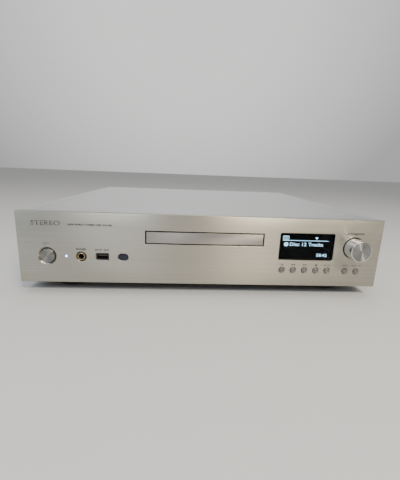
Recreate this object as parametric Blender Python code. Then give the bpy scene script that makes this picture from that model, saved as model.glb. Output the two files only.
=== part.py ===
"""Hi-fi CD player: cabinet, front controls, rear sockets, boards and a belt-and-gear tray loader.

Frame: X to the right, Y to the rear, Z up, origin under the middle of the footprint.
Every dimension below is in millimetres and is turned into metres when the meshes are made.
"""
import math

import bmesh
import bpy
from mathutils import Matrix, Vector

MM = 0.001
GAP = 0.3

# Cabinet
HALF_WIDTH = 215.0
HEIGHT = 98.0
BASE_Z = 13.6
PANEL_FRONT_Y = -187.5
PANEL_BACK_Y = -180.5
CABINET_REAR_Y = 197.5
PANEL_CHAMFER = 0.6
SIDE_WALL = 2.5
SIDE_FLANGE_X = 201.0
LEDGE_X = 176.0
TOP_SHEET = 2.5
CHASSIS_SHEET = 1.5
REAR_PANEL_Y = 194.2
REAR_PANEL_SHEET = 1.5
TOP_SCREW_X = 183.8
TOP_SCREW_FRONT_Y = -144.5
TOP_SCREW_REAR_Y = 152.0
FOOT_X = 168.0
FOOT_Y = 142.0
FOOT_RADIUS = 24.0

# Front panel features, heights measured from the panel's bottom edge
LOWER_ROW_Z = BASE_Z + 32.3
POWER_X = -183.0
POWER_RADIUS = 9.1
LED_X = -161.4
PHONES_X = -144.2
USB_X = -120.3
IR_X = -96.1
TRANSPORT_X = (95.1, 109.1, 123.2, 137.5, 151.7)
TRANSPORT_NAMES = ("eject", "prev", "next", "stop", "play")
TRANSPORT_Z = BASE_Z + 20.5
SMALL_X = (174.6, 188.8)
SMALL_NAMES = ("input", "menu")
SMALL_Z = BASE_Z + 20.0
BUTTON_RADIUS = 4.35
BUTTON_HOLE = 4.75
BUTTON_PROUD = 1.2
KNOB_X = 181.7
KNOB_Z = BASE_Z + 49.8
KNOB_RADIUS = 12.45
KNOB_HOLE = 13.3
KNOB_FACE_Y = -203.5
DISPLAY_X = 123.5
DISPLAY_Z = BASE_Z + 49.8
DISPLAY_WIDTH = 67.0
DISPLAY_HEIGHT = 33.2
BOARD_FRONT_Y = -174.0
BOARD_SHEET = 1.6

# Disc loader
TRAY_Z = BASE_Z + 57.0
TRAY_FRONT_HALF = 69.0
TRAY_FRONT_HEIGHT = 13.4
TRAY_HALF = 66.5
TRAY_Y = (-182.2, -12.0)
TRAY_FLOOR_Z = 66.0
TRAY_TOP_Z = 72.0
DISC_Y = -110.0
GEAR_Y = -157.5
GEAR_MODULE = 1.25
TOOTH_HALF_PITCH = 0.75
ADDENDUM = 0.9
DEDENDUM = 1.2
DRIVE_TEETH = 16
SMALL_TEETH = 12
DRIVE_X = 43.0
PULLEY_X = 25.5
MOTOR_X = -25.0
PIVOT_Y = 5.0
PIVOT_Z = 55.5
TRAVERSE_DROP_DEG = 4.0
CAM_STROKE = 20.0
CAM_Y = -142.5
PIN_Z = 53.8
ROD_X = 26.0
ROD_Z = 60.0
SCREW_X = 34.5

# Sockets on the rear panel as (x, z)
XLR_LEFT = (166.0, 44.0)
XLR_RIGHT = (122.0, 44.0)
RCA_LEFT = (166.0, 78.0)
RCA_RIGHT = (122.0, 78.0)
COAXIAL = (76.0, 72.0)
OPTICAL = (44.0, 72.0)
LAN = (-6.0, 70.0)
INLET = (-168.0, 48.0)
MAIN_BOARD_Z = 24.0


FINISHES = {
    "brushed_aluminium": ((0.72, 0.72, 0.71), 0.35, 1.0),
    "satin_aluminium": ((0.50, 0.50, 0.50), 0.45, 1.0),
    "knob_aluminium": ((0.76, 0.76, 0.76), 0.22, 1.0),
    "black_steel": ((0.03, 0.03, 0.032), 0.55, 0.4),
    "zinc_steel": ((0.55, 0.56, 0.58), 0.40, 1.0),
    "screw_steel": ((0.35, 0.35, 0.36), 0.35, 1.0),
    "rubber": ((0.02, 0.02, 0.02), 0.85, 0.0),
    "black_plastic": ((0.025, 0.025, 0.027), 0.50, 0.0),
    "grey_plastic": ((0.22, 0.22, 0.23), 0.50, 0.0),
    "white_plastic": ((0.80, 0.79, 0.74), 0.45, 0.0),
    "window_plastic": ((0.01, 0.011, 0.014), 0.08, 0.0),
    "screen": ((0.01, 0.015, 0.02), 0.20, 0.0),
    "led": ((0.75, 0.85, 1.0), 0.25, 0.0),
    "circuit_board": ((0.03, 0.16, 0.08), 0.50, 0.0),
    "gold": ((0.85, 0.62, 0.26), 0.28, 1.0),
    "nickel": ((0.66, 0.64, 0.60), 0.28, 1.0),
}


def clear_scene():
    for item in list(bpy.data.objects):
        bpy.data.objects.remove(item, do_unlink=True)


def material(name):
    found = bpy.data.materials.get(name)
    if found is not None:
        return found
    colour, roughness, metallic = FINISHES[name]
    made = bpy.data.materials.new(name)
    made.use_nodes = True
    shader = made.node_tree.nodes["Principled BSDF"]
    shader.inputs["Base Color"].default_value = (*colour, 1.0)
    shader.inputs["Roughness"].default_value = roughness
    shader.inputs["Metallic"].default_value = metallic
    made.diffuse_color = (*colour, 1.0)
    return made


def place(axis, u, v, along):
    """Point whose coordinate on the named axis is `along`; u and v are the other two, in X, Y, Z order."""
    if axis == "X":
        return (along, u, v)
    if axis == "Y":
        return (u, along, v)
    return (u, v, along)


def loft(rings):
    """Closed solid through rings of the same point count, capped at both ends."""
    shape = bmesh.new()
    loops = [[shape.verts.new(point) for point in ring] for ring in rings]
    count = len(loops[0])
    for near, far in zip(loops, loops[1:]):
        for index in range(count):
            follow = (index + 1) % count
            shape.faces.new((near[index], near[follow], far[follow], far[index]))
    shape.faces.new(loops[0])
    shape.faces.new(list(reversed(loops[-1])))
    bmesh.ops.recalc_face_normals(shape, faces=shape.faces)
    return shape


def prism(axis, outline, low, high):
    return loft([[place(axis, u, v, low) for u, v in outline], [place(axis, u, v, high) for u, v in outline]])


def box(x0, x1, y0, y1, z0, z1):
    return prism("Z", [(x0, y0), (x1, y0), (x1, y1), (x0, y1)], z0, z1)


def circle(u, v, radius, count):
    return [(u + radius * math.cos(math.tau * k / count), v + radius * math.sin(math.tau * k / count))
            for k in range(count)]


def turned(axis, centre, profile, count=24):
    """Solid of revolution from (radius, position along the axis) pairs."""
    rings = []
    for radius, along in profile:
        rings.append([place(axis, u, v, along) for u, v in circle(centre[0], centre[1], radius, count)])
    return loft(rings)


def rounded(u, v, width, height, radius, steps=6):
    """Rectangle outline with quarter-circle corners."""
    points = []
    corners = ((1, 1, 0), (-1, 1, 90), (-1, -1, 180), (1, -1, 270))
    for side_u, side_v, start in corners:
        centre_u = u + side_u * (width / 2 - radius)
        centre_v = v + side_v * (height / 2 - radius)
        for step in range(steps + 1):
            angle = math.radians(start + 90 * step / steps)
            points.append((centre_u + radius * math.cos(angle), centre_v + radius * math.sin(angle)))
    return points


def joined(shapes):
    """Several separate solids as one mesh."""
    whole = bmesh.new()
    for shape in shapes:
        scratch = bpy.data.meshes.new("scratch")
        shape.to_mesh(scratch)
        whole.from_mesh(scratch)
        bpy.data.meshes.remove(scratch)
        shape.free()
    return whole


def mesh_from(name, shape, origin):
    shape.transform(Matrix.Translation(-Vector(origin)))
    shape.transform(Matrix.Scale(MM, 4))
    mesh = bpy.data.meshes.new(name)
    shape.to_mesh(mesh)
    shape.free()
    return mesh


def piece(name, finish, shape, add=(), cut=(), refill=(), origin=(0.0, 0.0, 0.0)):
    """One physical piece: a base solid, Boolean unions, Boolean cuts, then what stands inside the cuts."""
    mesh = mesh_from(name, shape, origin)
    mesh.materials.append(material(finish))
    mesh.shade_smooth()
    mesh.set_sharp_from_angle(angle=math.radians(32))
    body = bpy.data.objects.new(name, mesh)
    body.location = Vector(origin) * MM
    bpy.context.collection.objects.link(body)
    steps = [("UNION", item) for item in add] + [("DIFFERENCE", item) for item in cut]
    steps += [("UNION", item) for item in refill]
    for number, (operation, item) in enumerate(steps):
        tool = bpy.data.objects.new(f"{name}.tool{number}", mesh_from(f"{name}.tool{number}", item, origin))
        tool.location = body.location
        tool.hide_render = True
        tool.display_type = "WIRE"
        bpy.context.collection.objects.link(tool)
        boolean = body.modifiers.new(f"{operation.lower()}{number}", "BOOLEAN")
        boolean.operation = operation
        boolean.solver = "EXACT"
        boolean.object = tool
    return body


# ---------------------------------------------------------------- cabinet

def front_panel():
    """Thick plate with 45 degree chamfers along its long front edges and an opening for every control."""
    c = PANEL_CHAMFER
    section = [
        (PANEL_FRONT_Y + c, BASE_Z), (PANEL_BACK_Y, BASE_Z), (PANEL_BACK_Y, HEIGHT),
        (PANEL_FRONT_Y + c, HEIGHT), (PANEL_FRONT_Y, HEIGHT - c), (PANEL_FRONT_Y, BASE_Z + c),
    ]
    before = PANEL_FRONT_Y - 1.0
    behind = PANEL_BACK_Y + 1.0
    flare = PANEL_FRONT_Y + 0.8
    holes = [
        box(-TRAY_FRONT_HALF - 0.5, TRAY_FRONT_HALF + 0.5, before, behind,
            TRAY_Z - TRAY_FRONT_HEIGHT / 2 - 0.5, TRAY_Z + TRAY_FRONT_HEIGHT / 2 + 0.5),
        prism("Y", rounded(DISPLAY_X, DISPLAY_Z, DISPLAY_WIDTH, DISPLAY_HEIGHT, 2.2, 3), before, behind),
        turned("Y", (POWER_X, LOWER_ROW_Z),
               [(11.1, before), (11.1, PANEL_FRONT_Y), (9.6, PANEL_FRONT_Y + 1.5), (9.6, behind)], 36),
        turned("Y", (LED_X, LOWER_ROW_Z), [(1.35, before), (1.35, behind)], 12),
        turned("Y", (PHONES_X, LOWER_ROW_Z), [(5.9, before), (5.9, behind)], 24),
        loft([[place("Y", u, v, y) for u, v in rounded(USB_X, LOWER_ROW_Z, w, h, 0.6, 2)]
              for w, h, y in ((15.6, 9.6, before), (15.6, 9.6, PANEL_FRONT_Y), (14.0, 8.0, flare),
                              (14.0, 8.0, behind))]),
        prism("Y", rounded(IR_X, LOWER_ROW_Z, 12.0, 8.4, 4.19, 5), before, behind),
        turned("Y", (KNOB_X, KNOB_Z), [(KNOB_HOLE, before), (KNOB_HOLE, behind)], 40),
    ]
    for x in TRANSPORT_X:
        holes.append(turned("Y", (x, TRANSPORT_Z), [(BUTTON_HOLE, before), (BUTTON_HOLE, behind)], 20))
    for x in SMALL_X:
        holes.append(turned("Y", (x, SMALL_Z), [(BUTTON_HOLE, before), (BUTTON_HOLE, behind)], 20))
    return piece("front_panel", "brushed_aluminium", prism("X", section, -HALF_WIDTH, HALF_WIDTH),
                 cut=[joined(holes)])


def side_section(name, side):
    """Extruded side: outer wall, top flange and an inner ledge that carries the top plate."""
    top = HEIGHT
    under = HEIGHT - TOP_SHEET - GAP
    outline = [
        (HALF_WIDTH, BASE_Z + 0.4), (HALF_WIDTH, top - 0.4), (HALF_WIDTH - 0.4, top),
        (SIDE_FLANGE_X + GAP, top), (SIDE_FLANGE_X + GAP, under), (LEDGE_X, under), (LEDGE_X, under - 2.0),
        (HALF_WIDTH - SIDE_WALL, under - 2.0), (HALF_WIDTH - SIDE_WALL, BASE_Z + 0.4),
    ]
    outline = [(side * x, z) for x, z in outline]
    front = PANEL_BACK_Y + GAP
    body = loft([[(x, y, z) for x, z in outline] for y in (front, CABINET_REAR_Y)])
    screw_holes = [turned("Z", (side * TOP_SCREW_X, y), [(2.1, under - 4.0), (2.1, under + 2.0)], 12)
                   for y in (TOP_SCREW_FRONT_Y, TOP_SCREW_REAR_Y)]
    return piece(name, "satin_aluminium", body, cut=[joined(screw_holes)])


def top_plate():
    low = HEIGHT - TOP_SHEET
    plate = box(-SIDE_FLANGE_X, SIDE_FLANGE_X, PANEL_BACK_Y + GAP, CABINET_REAR_Y, low, HEIGHT)
    sinks = []
    for x in (-TOP_SCREW_X, TOP_SCREW_X):
        for y in (TOP_SCREW_FRONT_Y, TOP_SCREW_REAR_Y):
            sinks.append(turned("Z", (x, y), [(2.2, low - 1.0), (2.2, HEIGHT - 2.1), (4.1, HEIGHT - 0.2),
                                              (4.1, HEIGHT + 1.0)], 16))
    return piece("top_plate", "satin_aluminium", plate, cut=[joined(sinks)])


def top_screw(name, x, y):
    """Countersunk screw with a hexagon socket, its head just under the plate's face."""
    head = HEIGHT - 0.25
    profile = [(1.5, 82.0), (1.8, 82.6), (1.8, HEIGHT - 2.1), (3.75, head - 0.2), (3.75, head)]
    shank = turned("Z", (x, y), profile, 16)
    socket = prism("Z", circle(x, y, 1.45, 6), HEIGHT - 2.0, HEIGHT + 1.0)
    return piece(name, "screw_steel", shank, cut=[socket], origin=(x, y, head))


def bottom_chassis():
    """Base sheet with turned-up front and rear flanges, foot holes, vents and stand-offs for the boards."""
    top = BASE_Z + CHASSIS_SHEET
    wide = HALF_WIDTH - SIDE_WALL - GAP
    front = PANEL_BACK_Y + GAP
    rear = REAR_PANEL_Y - GAP
    section = [(front, BASE_Z), (rear, BASE_Z), (rear, 24.0), (rear - 1.5, 24.0), (rear - 1.5, top),
               (front + 1.5, top), (front + 1.5, 26.0), (front, 26.0)]
    posts = []
    for x, y in stand_offs():
        posts.append(turned("Z", (x, y), [(3.2, top - 0.5), (3.2, MAIN_BOARD_Z - GAP)], 8))
    cuts = []
    for x in (-FOOT_X, FOOT_X):
        for y in (-FOOT_Y, FOOT_Y):
            cuts.append(turned("Z", (x, y), [(5.3, BASE_Z - 1.0), (5.3, top + 1.0)], 16))
    for row in (-1, 1):
        for number in range(7):
            x = row * 108.0 + (number - 3) * 9.0
            cuts.append(box(x - 1.5, x + 1.5, -112.0, -72.0, BASE_Z - 1.0, top + 1.0))
    return piece("bottom_chassis", "black_steel", prism("X", section, -wide, wide), add=[joined(posts)],
                 cut=[joined(cuts)])


def stand_offs():
    main = [(x, y) for x in (-52.0, 194.0) for y in (46.0, 178.0)]
    supply = [(x, y) for x in (-194.0, -86.0) for y in (-44.0, 122.0)]
    return main + supply


def foot(name, x, y):
    """Turned foot with a soft lower edge and a stud that snaps into the base sheet."""
    profile = [(FOOT_RADIUS - 1.6, 0.0), (FOOT_RADIUS, 1.6), (FOOT_RADIUS, BASE_Z - GAP), (4.9, BASE_Z - GAP),
               (4.9, 17.0), (4.2, 18.0)]
    return piece(name, "rubber", turned("Z", (x, y), profile, 24), origin=(x, y, 0.0))


def rear_panel():
    wide = HALF_WIDTH - SIDE_WALL - GAP
    sheet = box(-wide, wide, REAR_PANEL_Y, REAR_PANEL_Y + REAR_PANEL_SHEET, BASE_Z + 0.4, 92.9)
    y0 = REAR_PANEL_Y - 1.0
    y1 = REAR_PANEL_Y + REAR_PANEL_SHEET + 1.0
    holes = []
    for x, z in (XLR_LEFT, XLR_RIGHT):
        holes.append(turned("Y", (x, z), [(12.1, y0), (12.1, y1)], 24))
    for x, z in (RCA_LEFT, RCA_RIGHT, COAXIAL):
        holes.append(turned("Y", (x, z), [(6.0, y0), (6.0, y1)], 20))
    holes.append(box(OPTICAL[0] - 6.0, OPTICAL[0] + 6.0, y0, y1, OPTICAL[1] - 6.0, OPTICAL[1] + 6.0))
    holes.append(box(LAN[0] - 8.6, LAN[0] + 8.6, y0, y1, LAN[1] - 7.4, LAN[1] + 7.4))
    holes.append(box(INLET[0] - 14.0, INLET[0] + 14.0, y0, y1, INLET[1] - 10.5, INLET[1] + 10.5))
    return piece("rear_panel", "black_steel", sheet, cut=[joined(holes)])


# ---------------------------------------------------------------- front controls

def display_window():
    outline = rounded(DISPLAY_X, DISPLAY_Z, DISPLAY_WIDTH - 0.6, DISPLAY_HEIGHT - 0.6, 1.9)
    sheet = prism("Y", outline, PANEL_FRONT_Y + 0.2, PANEL_FRONT_Y + 2.2)
    return piece("display_window", "window_plastic", sheet)


def display_module():
    half_w = DISPLAY_WIDTH / 2 - 1.0
    half_h = DISPLAY_HEIGHT / 2 - 1.0
    glass = box(DISPLAY_X - half_w, DISPLAY_X + half_w, PANEL_FRONT_Y + 2.6, BOARD_FRONT_Y - GAP,
                DISPLAY_Z - half_h, DISPLAY_Z + half_h)
    return piece("display_module", "screen", glass)


def power_led():
    pipe = turned("Y", (LED_X, LOWER_ROW_Z), [(0.7, PANEL_FRONT_Y - 0.3), (1.0, PANEL_FRONT_Y + 0.1),
                                              (1.0, PANEL_BACK_Y + 0.3), (2.0, PANEL_BACK_Y + 0.3),
                                              (2.0, BOARD_FRONT_Y - GAP)], 12)
    return piece("power_led", "led", pipe, origin=(LED_X, PANEL_FRONT_Y, LOWER_ROW_Z))


def ir_window():
    outline = rounded(IR_X, LOWER_ROW_Z, 11.4, 7.8, 3.89)
    return piece("ir_window", "window_plastic", prism("Y", outline, PANEL_FRONT_Y + 0.3, BOARD_FRONT_Y - 4.0))


def phones_jack():
    """Threaded 6.35 mm bushing with its moulded case behind the panel."""
    y0 = PANEL_FRONT_Y - 0.5
    bushing = turned("Y", (PHONES_X, LOWER_ROW_Z), [(5.2, y0), (5.5, y0 + 0.3), (5.5, -178.0)], 28)
    case = box(PHONES_X - 8.0, PHONES_X + 8.0, -179.6, -152.0, LOWER_ROW_Z - 8.0, LOWER_ROW_Z + 8.0)
    bore_profile = [(3.7, y0 - 1.0), (3.7, y0), (3.3, y0 + 0.5), (3.3, -156.0)]
    bore = turned("Y", (PHONES_X, LOWER_ROW_Z), bore_profile, 20)
    return piece("phones_jack", "gold", bushing, add=[case], cut=[bore])


def usb_port():
    """Type A receptacle: shell with its contact tongue."""
    x, z = USB_X, LOWER_ROW_Z
    y0 = PANEL_FRONT_Y + 1.0
    shell = box(x - 6.6, x + 6.6, y0, -166.0, z - 3.6, z + 3.6)
    mouth = box(x - 6.1, x + 6.1, y0 - 1.0, -169.0, z - 3.1, z + 3.1)
    tongue = box(x - 5.4, x + 5.4, y0 + 1.2, -168.0, z + 0.4, z + 2.2)
    return piece("usb_port", "nickel", shell, cut=[mouth], refill=[tongue])


def round_button(name, x, z):
    """Turned cap, a collar that stops it behind the panel and a short plunger."""
    face = PANEL_FRONT_Y - BUTTON_PROUD
    collar = PANEL_BACK_Y + GAP
    profile = [(BUTTON_RADIUS - 0.45, face), (BUTTON_RADIUS, face + 0.45), (BUTTON_RADIUS, collar),
               (5.6, collar), (5.6, collar + 1.2), (1.5, collar + 1.2), (1.5, -178.2)]
    return piece(name, "knob_aluminium", turned("Y", (x, z), profile, 16), origin=(x, face, z))


def power_button():
    face = PANEL_FRONT_Y - 0.4
    collar = PANEL_BACK_Y + GAP
    profile = [(POWER_RADIUS - 0.5, face), (POWER_RADIUS, face + 0.5), (POWER_RADIUS, collar), (10.8, collar),
               (10.8, collar + 1.2), (2.5, collar + 1.2), (2.5, -178.4)]
    return piece("power_button", "knob_aluminium", turned("Y", (POWER_X, LOWER_ROW_Z), profile, 28),
                 origin=(POWER_X, face, LOWER_ROW_Z))


def select_knob():
    profile = [(KNOB_RADIUS - 0.5, KNOB_FACE_Y), (KNOB_RADIUS, KNOB_FACE_Y + 0.5), (KNOB_RADIUS, -181.6)]
    bore = turned("Y", (KNOB_X, KNOB_Z), [(3.3, -197.0), (3.3, -180.0)], 12)
    return piece("select_knob", "knob_aluminium", turned("Y", (KNOB_X, KNOB_Z), profile, 48), cut=[bore],
                 origin=(KNOB_X, KNOB_FACE_Y, KNOB_Z))


def encoder_shaft():
    profile = [(2.6, -196.6), (3.0, -196.2), (3.0, -176.6)]
    return piece("encoder_shaft", "nickel", turned("Y", (KNOB_X, KNOB_Z), profile, 12),
                 origin=(KNOB_X, -176.6, KNOB_Z))


def front_board():
    """Control board behind the front panel, tall at the display end, with its soldered switches."""
    outline = [(-200.0, 28.0), (200.0, 28.0), (200.0, 84.0), (84.0, 84.0), (84.0, 58.0), (-200.0, 58.0)]
    back = BOARD_FRONT_Y + BOARD_SHEET
    switches = []
    spots = [(x, TRANSPORT_Z) for x in TRANSPORT_X] + [(x, SMALL_Z) for x in SMALL_X]
    spots.append((POWER_X, LOWER_ROW_Z))
    for x, z in spots:
        switches.append(box(x - 3.0, x + 3.0, -177.2, BOARD_FRONT_Y + 0.3, z - 3.0, z + 3.0))
    encoder = box(KNOB_X - 6.5, KNOB_X + 6.5, -180.0, BOARD_FRONT_Y + 0.3, KNOB_Z - 6.5, KNOB_Z + 6.5)
    y0, y1, z = BOARD_FRONT_Y - 1.0, back + 1.0, LOWER_ROW_Z
    cuts = [
        box(PHONES_X - 8.4, PHONES_X + 8.4, y0, y1, z - 8.4, z + 8.4),
        box(USB_X - 7.0, USB_X + 7.0, y0, y1, z - 4.0, z + 4.0),
        turned("Y", (KNOB_X, KNOB_Z), [(3.4, -181.0), (3.4, -175.8)], 12),
    ]
    return piece("front_board", "circuit_board", prism("Y", outline, BOARD_FRONT_Y, back),
                 add=[joined(switches + [encoder])], cut=[joined(cuts)])


# ---------------------------------------------------------------- rear sockets and boards

def xlr_socket(name, spot):
    """Male three-pin chassis socket: square flange outside the sheet, barrel through it."""
    x, z = spot
    outside = REAR_PANEL_Y + REAR_PANEL_SHEET + GAP
    flange = prism("Y", rounded(x, z, 26.0, 31.0, 2.0, 3), outside, outside + 1.8)
    barrel = turned("Y", (x, z), [(11.8, 172.0), (11.8, outside + 1.0)], 24)
    well = turned("Y", (x, z), [(9.4, 180.0), (9.4, outside + 3.0)], 24)
    pins = joined([turned("Y", (x + a, z + b), [(1.2, 179.0), (1.2, 195.0)], 8)
                   for a, b in ((-4.0, 2.0), (4.0, 2.0), (0.0, -4.2))])
    return piece(name, "black_plastic", flange, add=[barrel], cut=[well], refill=[pins])


def phono_socket(name, spot, finish):
    """Phono socket: hexagon collar and barrel outside the sheet, case inside."""
    x, z = spot
    outside = REAR_PANEL_Y + REAR_PANEL_SHEET + GAP
    stem = turned("Y", (x, z), [(5.6, 176.0), (5.6, outside + 0.4), (4.15, outside + 0.4), (4.15, 203.3),
                                (3.95, 203.5)], 20)
    collar = prism("Y", circle(x, z, 7.2, 6), outside, outside + 2.2)
    bore = turned("Y", (x, z), [(1.7, 188.0), (1.7, 205.0)], 10)
    return piece(name, finish, stem, add=[collar], cut=[bore])


def optical_out():
    x, z = OPTICAL
    case = box(x - 5.6, x + 5.6, 178.0, 198.5, z - 5.6, z + 5.6)
    mouth = prism("Y", rounded(x, z, 7.4, 7.4, 1.2, 3), 190.0, 200.0)
    return piece("optical_out", "black_plastic", case, cut=[mouth])


def lan_port():
    x, z = LAN
    shell = box(x - 8.2, x + 8.2, 176.0, 197.5, z - 7.0, z + 7.0)
    mouth = box(x - 5.9, x + 5.9, 182.0, 199.0, z - 4.2, z + 3.2)
    latch = box(x - 2.0, x + 2.0, 184.0, 199.0, z - 5.6, z - 4.0)
    return piece("lan_port", "nickel", shell, cut=[mouth, latch])


def ac_inlet():
    """Two-pole mains inlet with its flange outside the rear sheet."""
    x, z = INLET
    outside = REAR_PANEL_Y + REAR_PANEL_SHEET + GAP
    flange = prism("Y", rounded(x, z, 34.0, 26.0, 3.0, 3), outside, outside + 2.6)
    case = box(x - 13.4, x + 13.4, 168.0, outside + 1.0, z - 9.9, z + 9.9)
    well = prism("Y", [(x - 11.9, z - 7.0), (x + 11.9, z - 7.0), (x + 11.9, z + 3.6), (x + 8.2, z + 7.6),
                       (x - 8.2, z + 7.6), (x - 11.9, z + 3.6)], 182.0, outside + 4.0)
    return piece("ac_inlet", "black_plastic", flange, add=[case], cut=[well])


def main_board():
    """Digital and analogue board with its soldered parts."""
    top = MAIN_BOARD_Z + BOARD_SHEET
    sheet = box(-60.0, 200.0, 38.0, 186.0, MAIN_BOARD_Z, top)
    parts = [box(-20.0, 10.0, 70.0, 100.0, top - 0.4, top + 2.4),
             box(40.0, 58.0, 76.0, 94.0, top - 0.4, top + 1.8)]
    for x in (101.0, 151.0):
        parts.append(box(x - 11.0, x + 11.0, 60.0, 82.0, top - 0.4, top + 8.0))
    for column in range(4):
        for row in range(2):
            parts.append(turned("Z", (90.0 + 18.0 * column, 110.0 + 22.0 * row),
                                [(5.0, top - 0.4), (5.0, top + 14.0)], 12))
    return piece("main_board", "circuit_board", sheet, add=[joined(parts)])


def power_board():
    """Mains supply board: transformer, reservoir capacitors and a finned heat sink."""
    top = MAIN_BOARD_Z + BOARD_SHEET
    sheet = box(-200.0, -80.0, -50.0, 128.0, MAIN_BOARD_Z, top)
    parts = [box(-176.0, -126.0, -20.0, 30.0, top - 0.4, top + 38.0)]
    for number in range(3):
        parts.append(turned("Z", (-104.0, -26.0 + 26.0 * number),
                            [(10.0, top - 0.4), (10.0, top + 32.0)], 16))
    parts.append(box(-184.0, -114.0, 58.0, 62.0, top - 0.4, top + 34.0))
    for number in range(8):
        x = -181.0 + 9.0 * number
        parts.append(box(x - 0.8, x + 0.8, 61.5, 78.0, top + 3.0, top + 34.0))
    spine, fins = parts[4], parts[5:]
    return piece("power_board", "circuit_board", sheet, add=[joined(parts[:4] + [spine]), joined(fins)])


# ---------------------------------------------------------------- disc loader

def gear_outline(x, y, teeth, first_deg):
    """Toothed outline with straight flanks and free play between meshing teeth."""
    radius = GEAR_MODULE * teeth / 2
    tip = radius + ADDENDUM
    root = radius - DEDENDUM
    widths = ((root, TOOTH_HALF_PITCH + 0.40), (tip, TOOTH_HALF_PITCH - 0.35))
    points = []
    for tooth in range(teeth):
        middle = math.radians(first_deg) + math.tau * tooth / teeth
        for sign in (-1, 1):
            order = widths if sign < 0 else tuple(reversed(widths))
            for level, half in order:
                angle = middle + sign * half / level
                points.append((x + level * math.cos(angle), y + level * math.sin(angle)))
    return points


def rack_outline(pitch_x, back_x, start_y, end_y, phase_y):
    """Straight rack whose teeth point towards -X, with a space centred on phase_y."""
    pitch = math.pi * GEAR_MODULE
    first = math.ceil((start_y - phase_y) / pitch)
    last = math.floor((end_y - phase_y) / pitch)
    points = [(back_x, start_y), (pitch_x + DEDENDUM, start_y)]
    for number in range(first, last):
        middle = phase_y + (number + 0.5) * pitch
        points.append((pitch_x + DEDENDUM, middle - TOOTH_HALF_PITCH - 0.40))
        points.append((pitch_x - ADDENDUM, middle - TOOTH_HALF_PITCH + 0.35))
        points.append((pitch_x - ADDENDUM, middle + TOOTH_HALF_PITCH - 0.35))
        points.append((pitch_x + DEDENDUM, middle + TOOTH_HALF_PITCH + 0.40))
    points.append((pitch_x + DEDENDUM, end_y))
    points.append((back_x, end_y))
    return points


def loader_frame():
    """Moulded channel that guides the tray, with the gear deck, traverse pivots and cam slider guides."""
    half = [(73.5, 34.0), (73.5, 78.0), (71.0, 78.0), (71.0, 73.8), (63.8, 73.8), (63.8, TRAY_TOP_Z + GAP),
            (71.0, TRAY_TOP_Z + GAP), (71.0, TRAY_FLOOR_Z - GAP), (61.0, TRAY_FLOOR_Z - GAP), (61.0, 63.2),
            (71.0, 63.2), (71.0, 36.0)]
    section = [(-x, z) for x, z in reversed(half)] + half
    channel = prism("Y", [(x, z) for x, z in section], -171.8, 14.0)
    deck = box(-71.4, 71.4, -171.8, -147.2, 54.5, 56.5)
    pins = [turned("Z", (PULLEY_X, GEAR_Y), [(1.5, 56.0), (1.5, 65.2)], 16),
            turned("Z", (DRIVE_X, GEAR_Y), [(1.5, 56.0), (1.5, 65.2)], 16)]
    guides = [box(-46.0, 46.0, -146.8, -144.3, 35.5, 41.0), box(-46.0, 46.0, -140.7, -138.6, 35.5, 41.0)]
    posts = [box(40.8, 44.8, 0.0, 10.0, 35.5, 60.0), box(-44.8, -40.8, 0.0, 10.0, 35.5, 60.0)]
    legs = [turned("Z", (x, y), [(4.5, BASE_Z + CHASSIS_SHEET + GAP), (4.5, 34.5)], 16)
            for x in (-67.0, 67.0) for y in (-164.0, 7.0)]
    window = box(-48.0, 48.0, -138.0, -3.0, 32.0, 40.0)
    pivot = turned("X", (PIVOT_Y, PIVOT_Z), [(2.2, -50.0), (2.2, 50.0)], 20)
    motor_hole = turned("Z", (MOTOR_X, GEAR_Y), [(3.0, 53.0), (3.0, 58.0)], 20)
    return piece("loader_frame", "black_plastic", channel,
                 add=[deck, joined(pins + guides + posts), joined(legs)],
                 cut=[joined([window, pivot, motor_hole])])


def disc_tray():
    """Tray with the 12 cm and 8 cm disc wells, a slot open to the rear and the drive rack underneath."""
    body = box(-TRAY_HALF, TRAY_HALF, TRAY_Y[0], TRAY_Y[1], TRAY_FLOOR_Z, TRAY_TOP_Z)
    rack = prism("Z", rack_outline(DRIVE_X + 10.0, 58.6, -166.5, -14.0, GEAR_Y), 63.8, TRAY_FLOOR_Z + 0.4)
    large = turned("Z", (0.0, DISC_Y), [(60.2, 68.0), (61.0, TRAY_TOP_Z + 1.0)], 64)
    small = turned("Z", (0.0, DISC_Y), [(40.6, 67.2), (40.6, 68.6)], 44)
    slot_front = [(17.5 * math.cos(math.radians(a)), DISC_Y + 17.5 * math.sin(math.radians(a)))
                  for a in range(-180, 1, 15)]
    slot = prism("Z", slot_front + [(17.5, TRAY_Y[1] + 1.0), (-17.5, TRAY_Y[1] + 1.0)], 64.0, 74.0)
    return piece("disc_tray", "black_plastic", body, add=[rack], cut=[large, small, slot],
                 origin=(0.0, TRAY_Y[0], TRAY_FLOOR_Z))


def tray_front():
    low = TRAY_Z - TRAY_FRONT_HEIGHT / 2
    back = TRAY_Y[0] - GAP
    plate = box(-TRAY_FRONT_HALF, TRAY_FRONT_HALF, PANEL_FRONT_Y, back, low, low + TRAY_FRONT_HEIGHT)
    return piece("tray_front", "brushed_aluminium", plate, origin=(0.0, PANEL_FRONT_Y, TRAY_Z))


def pulley_profile(radius, lip, low, high):
    """Grooved rim between two lips."""
    groove = [(radius, low + 1.6), (radius, high - 1.0)]
    return [(lip, low), (lip, low + 1.2)] + groove + [(lip, high - 0.6), (lip, high)]


def loading_motor():
    case = turned("Z", (MOTOR_X, GEAR_Y), [(10.0, 37.0), (10.0, 53.6), (9.4, 54.2)], 24)
    bore = turned("Z", (MOTOR_X, GEAR_Y), [(1.4, 46.0), (1.4, 56.0)], 12)
    return piece("loading_motor", "zinc_steel", case, cut=[bore])


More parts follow.
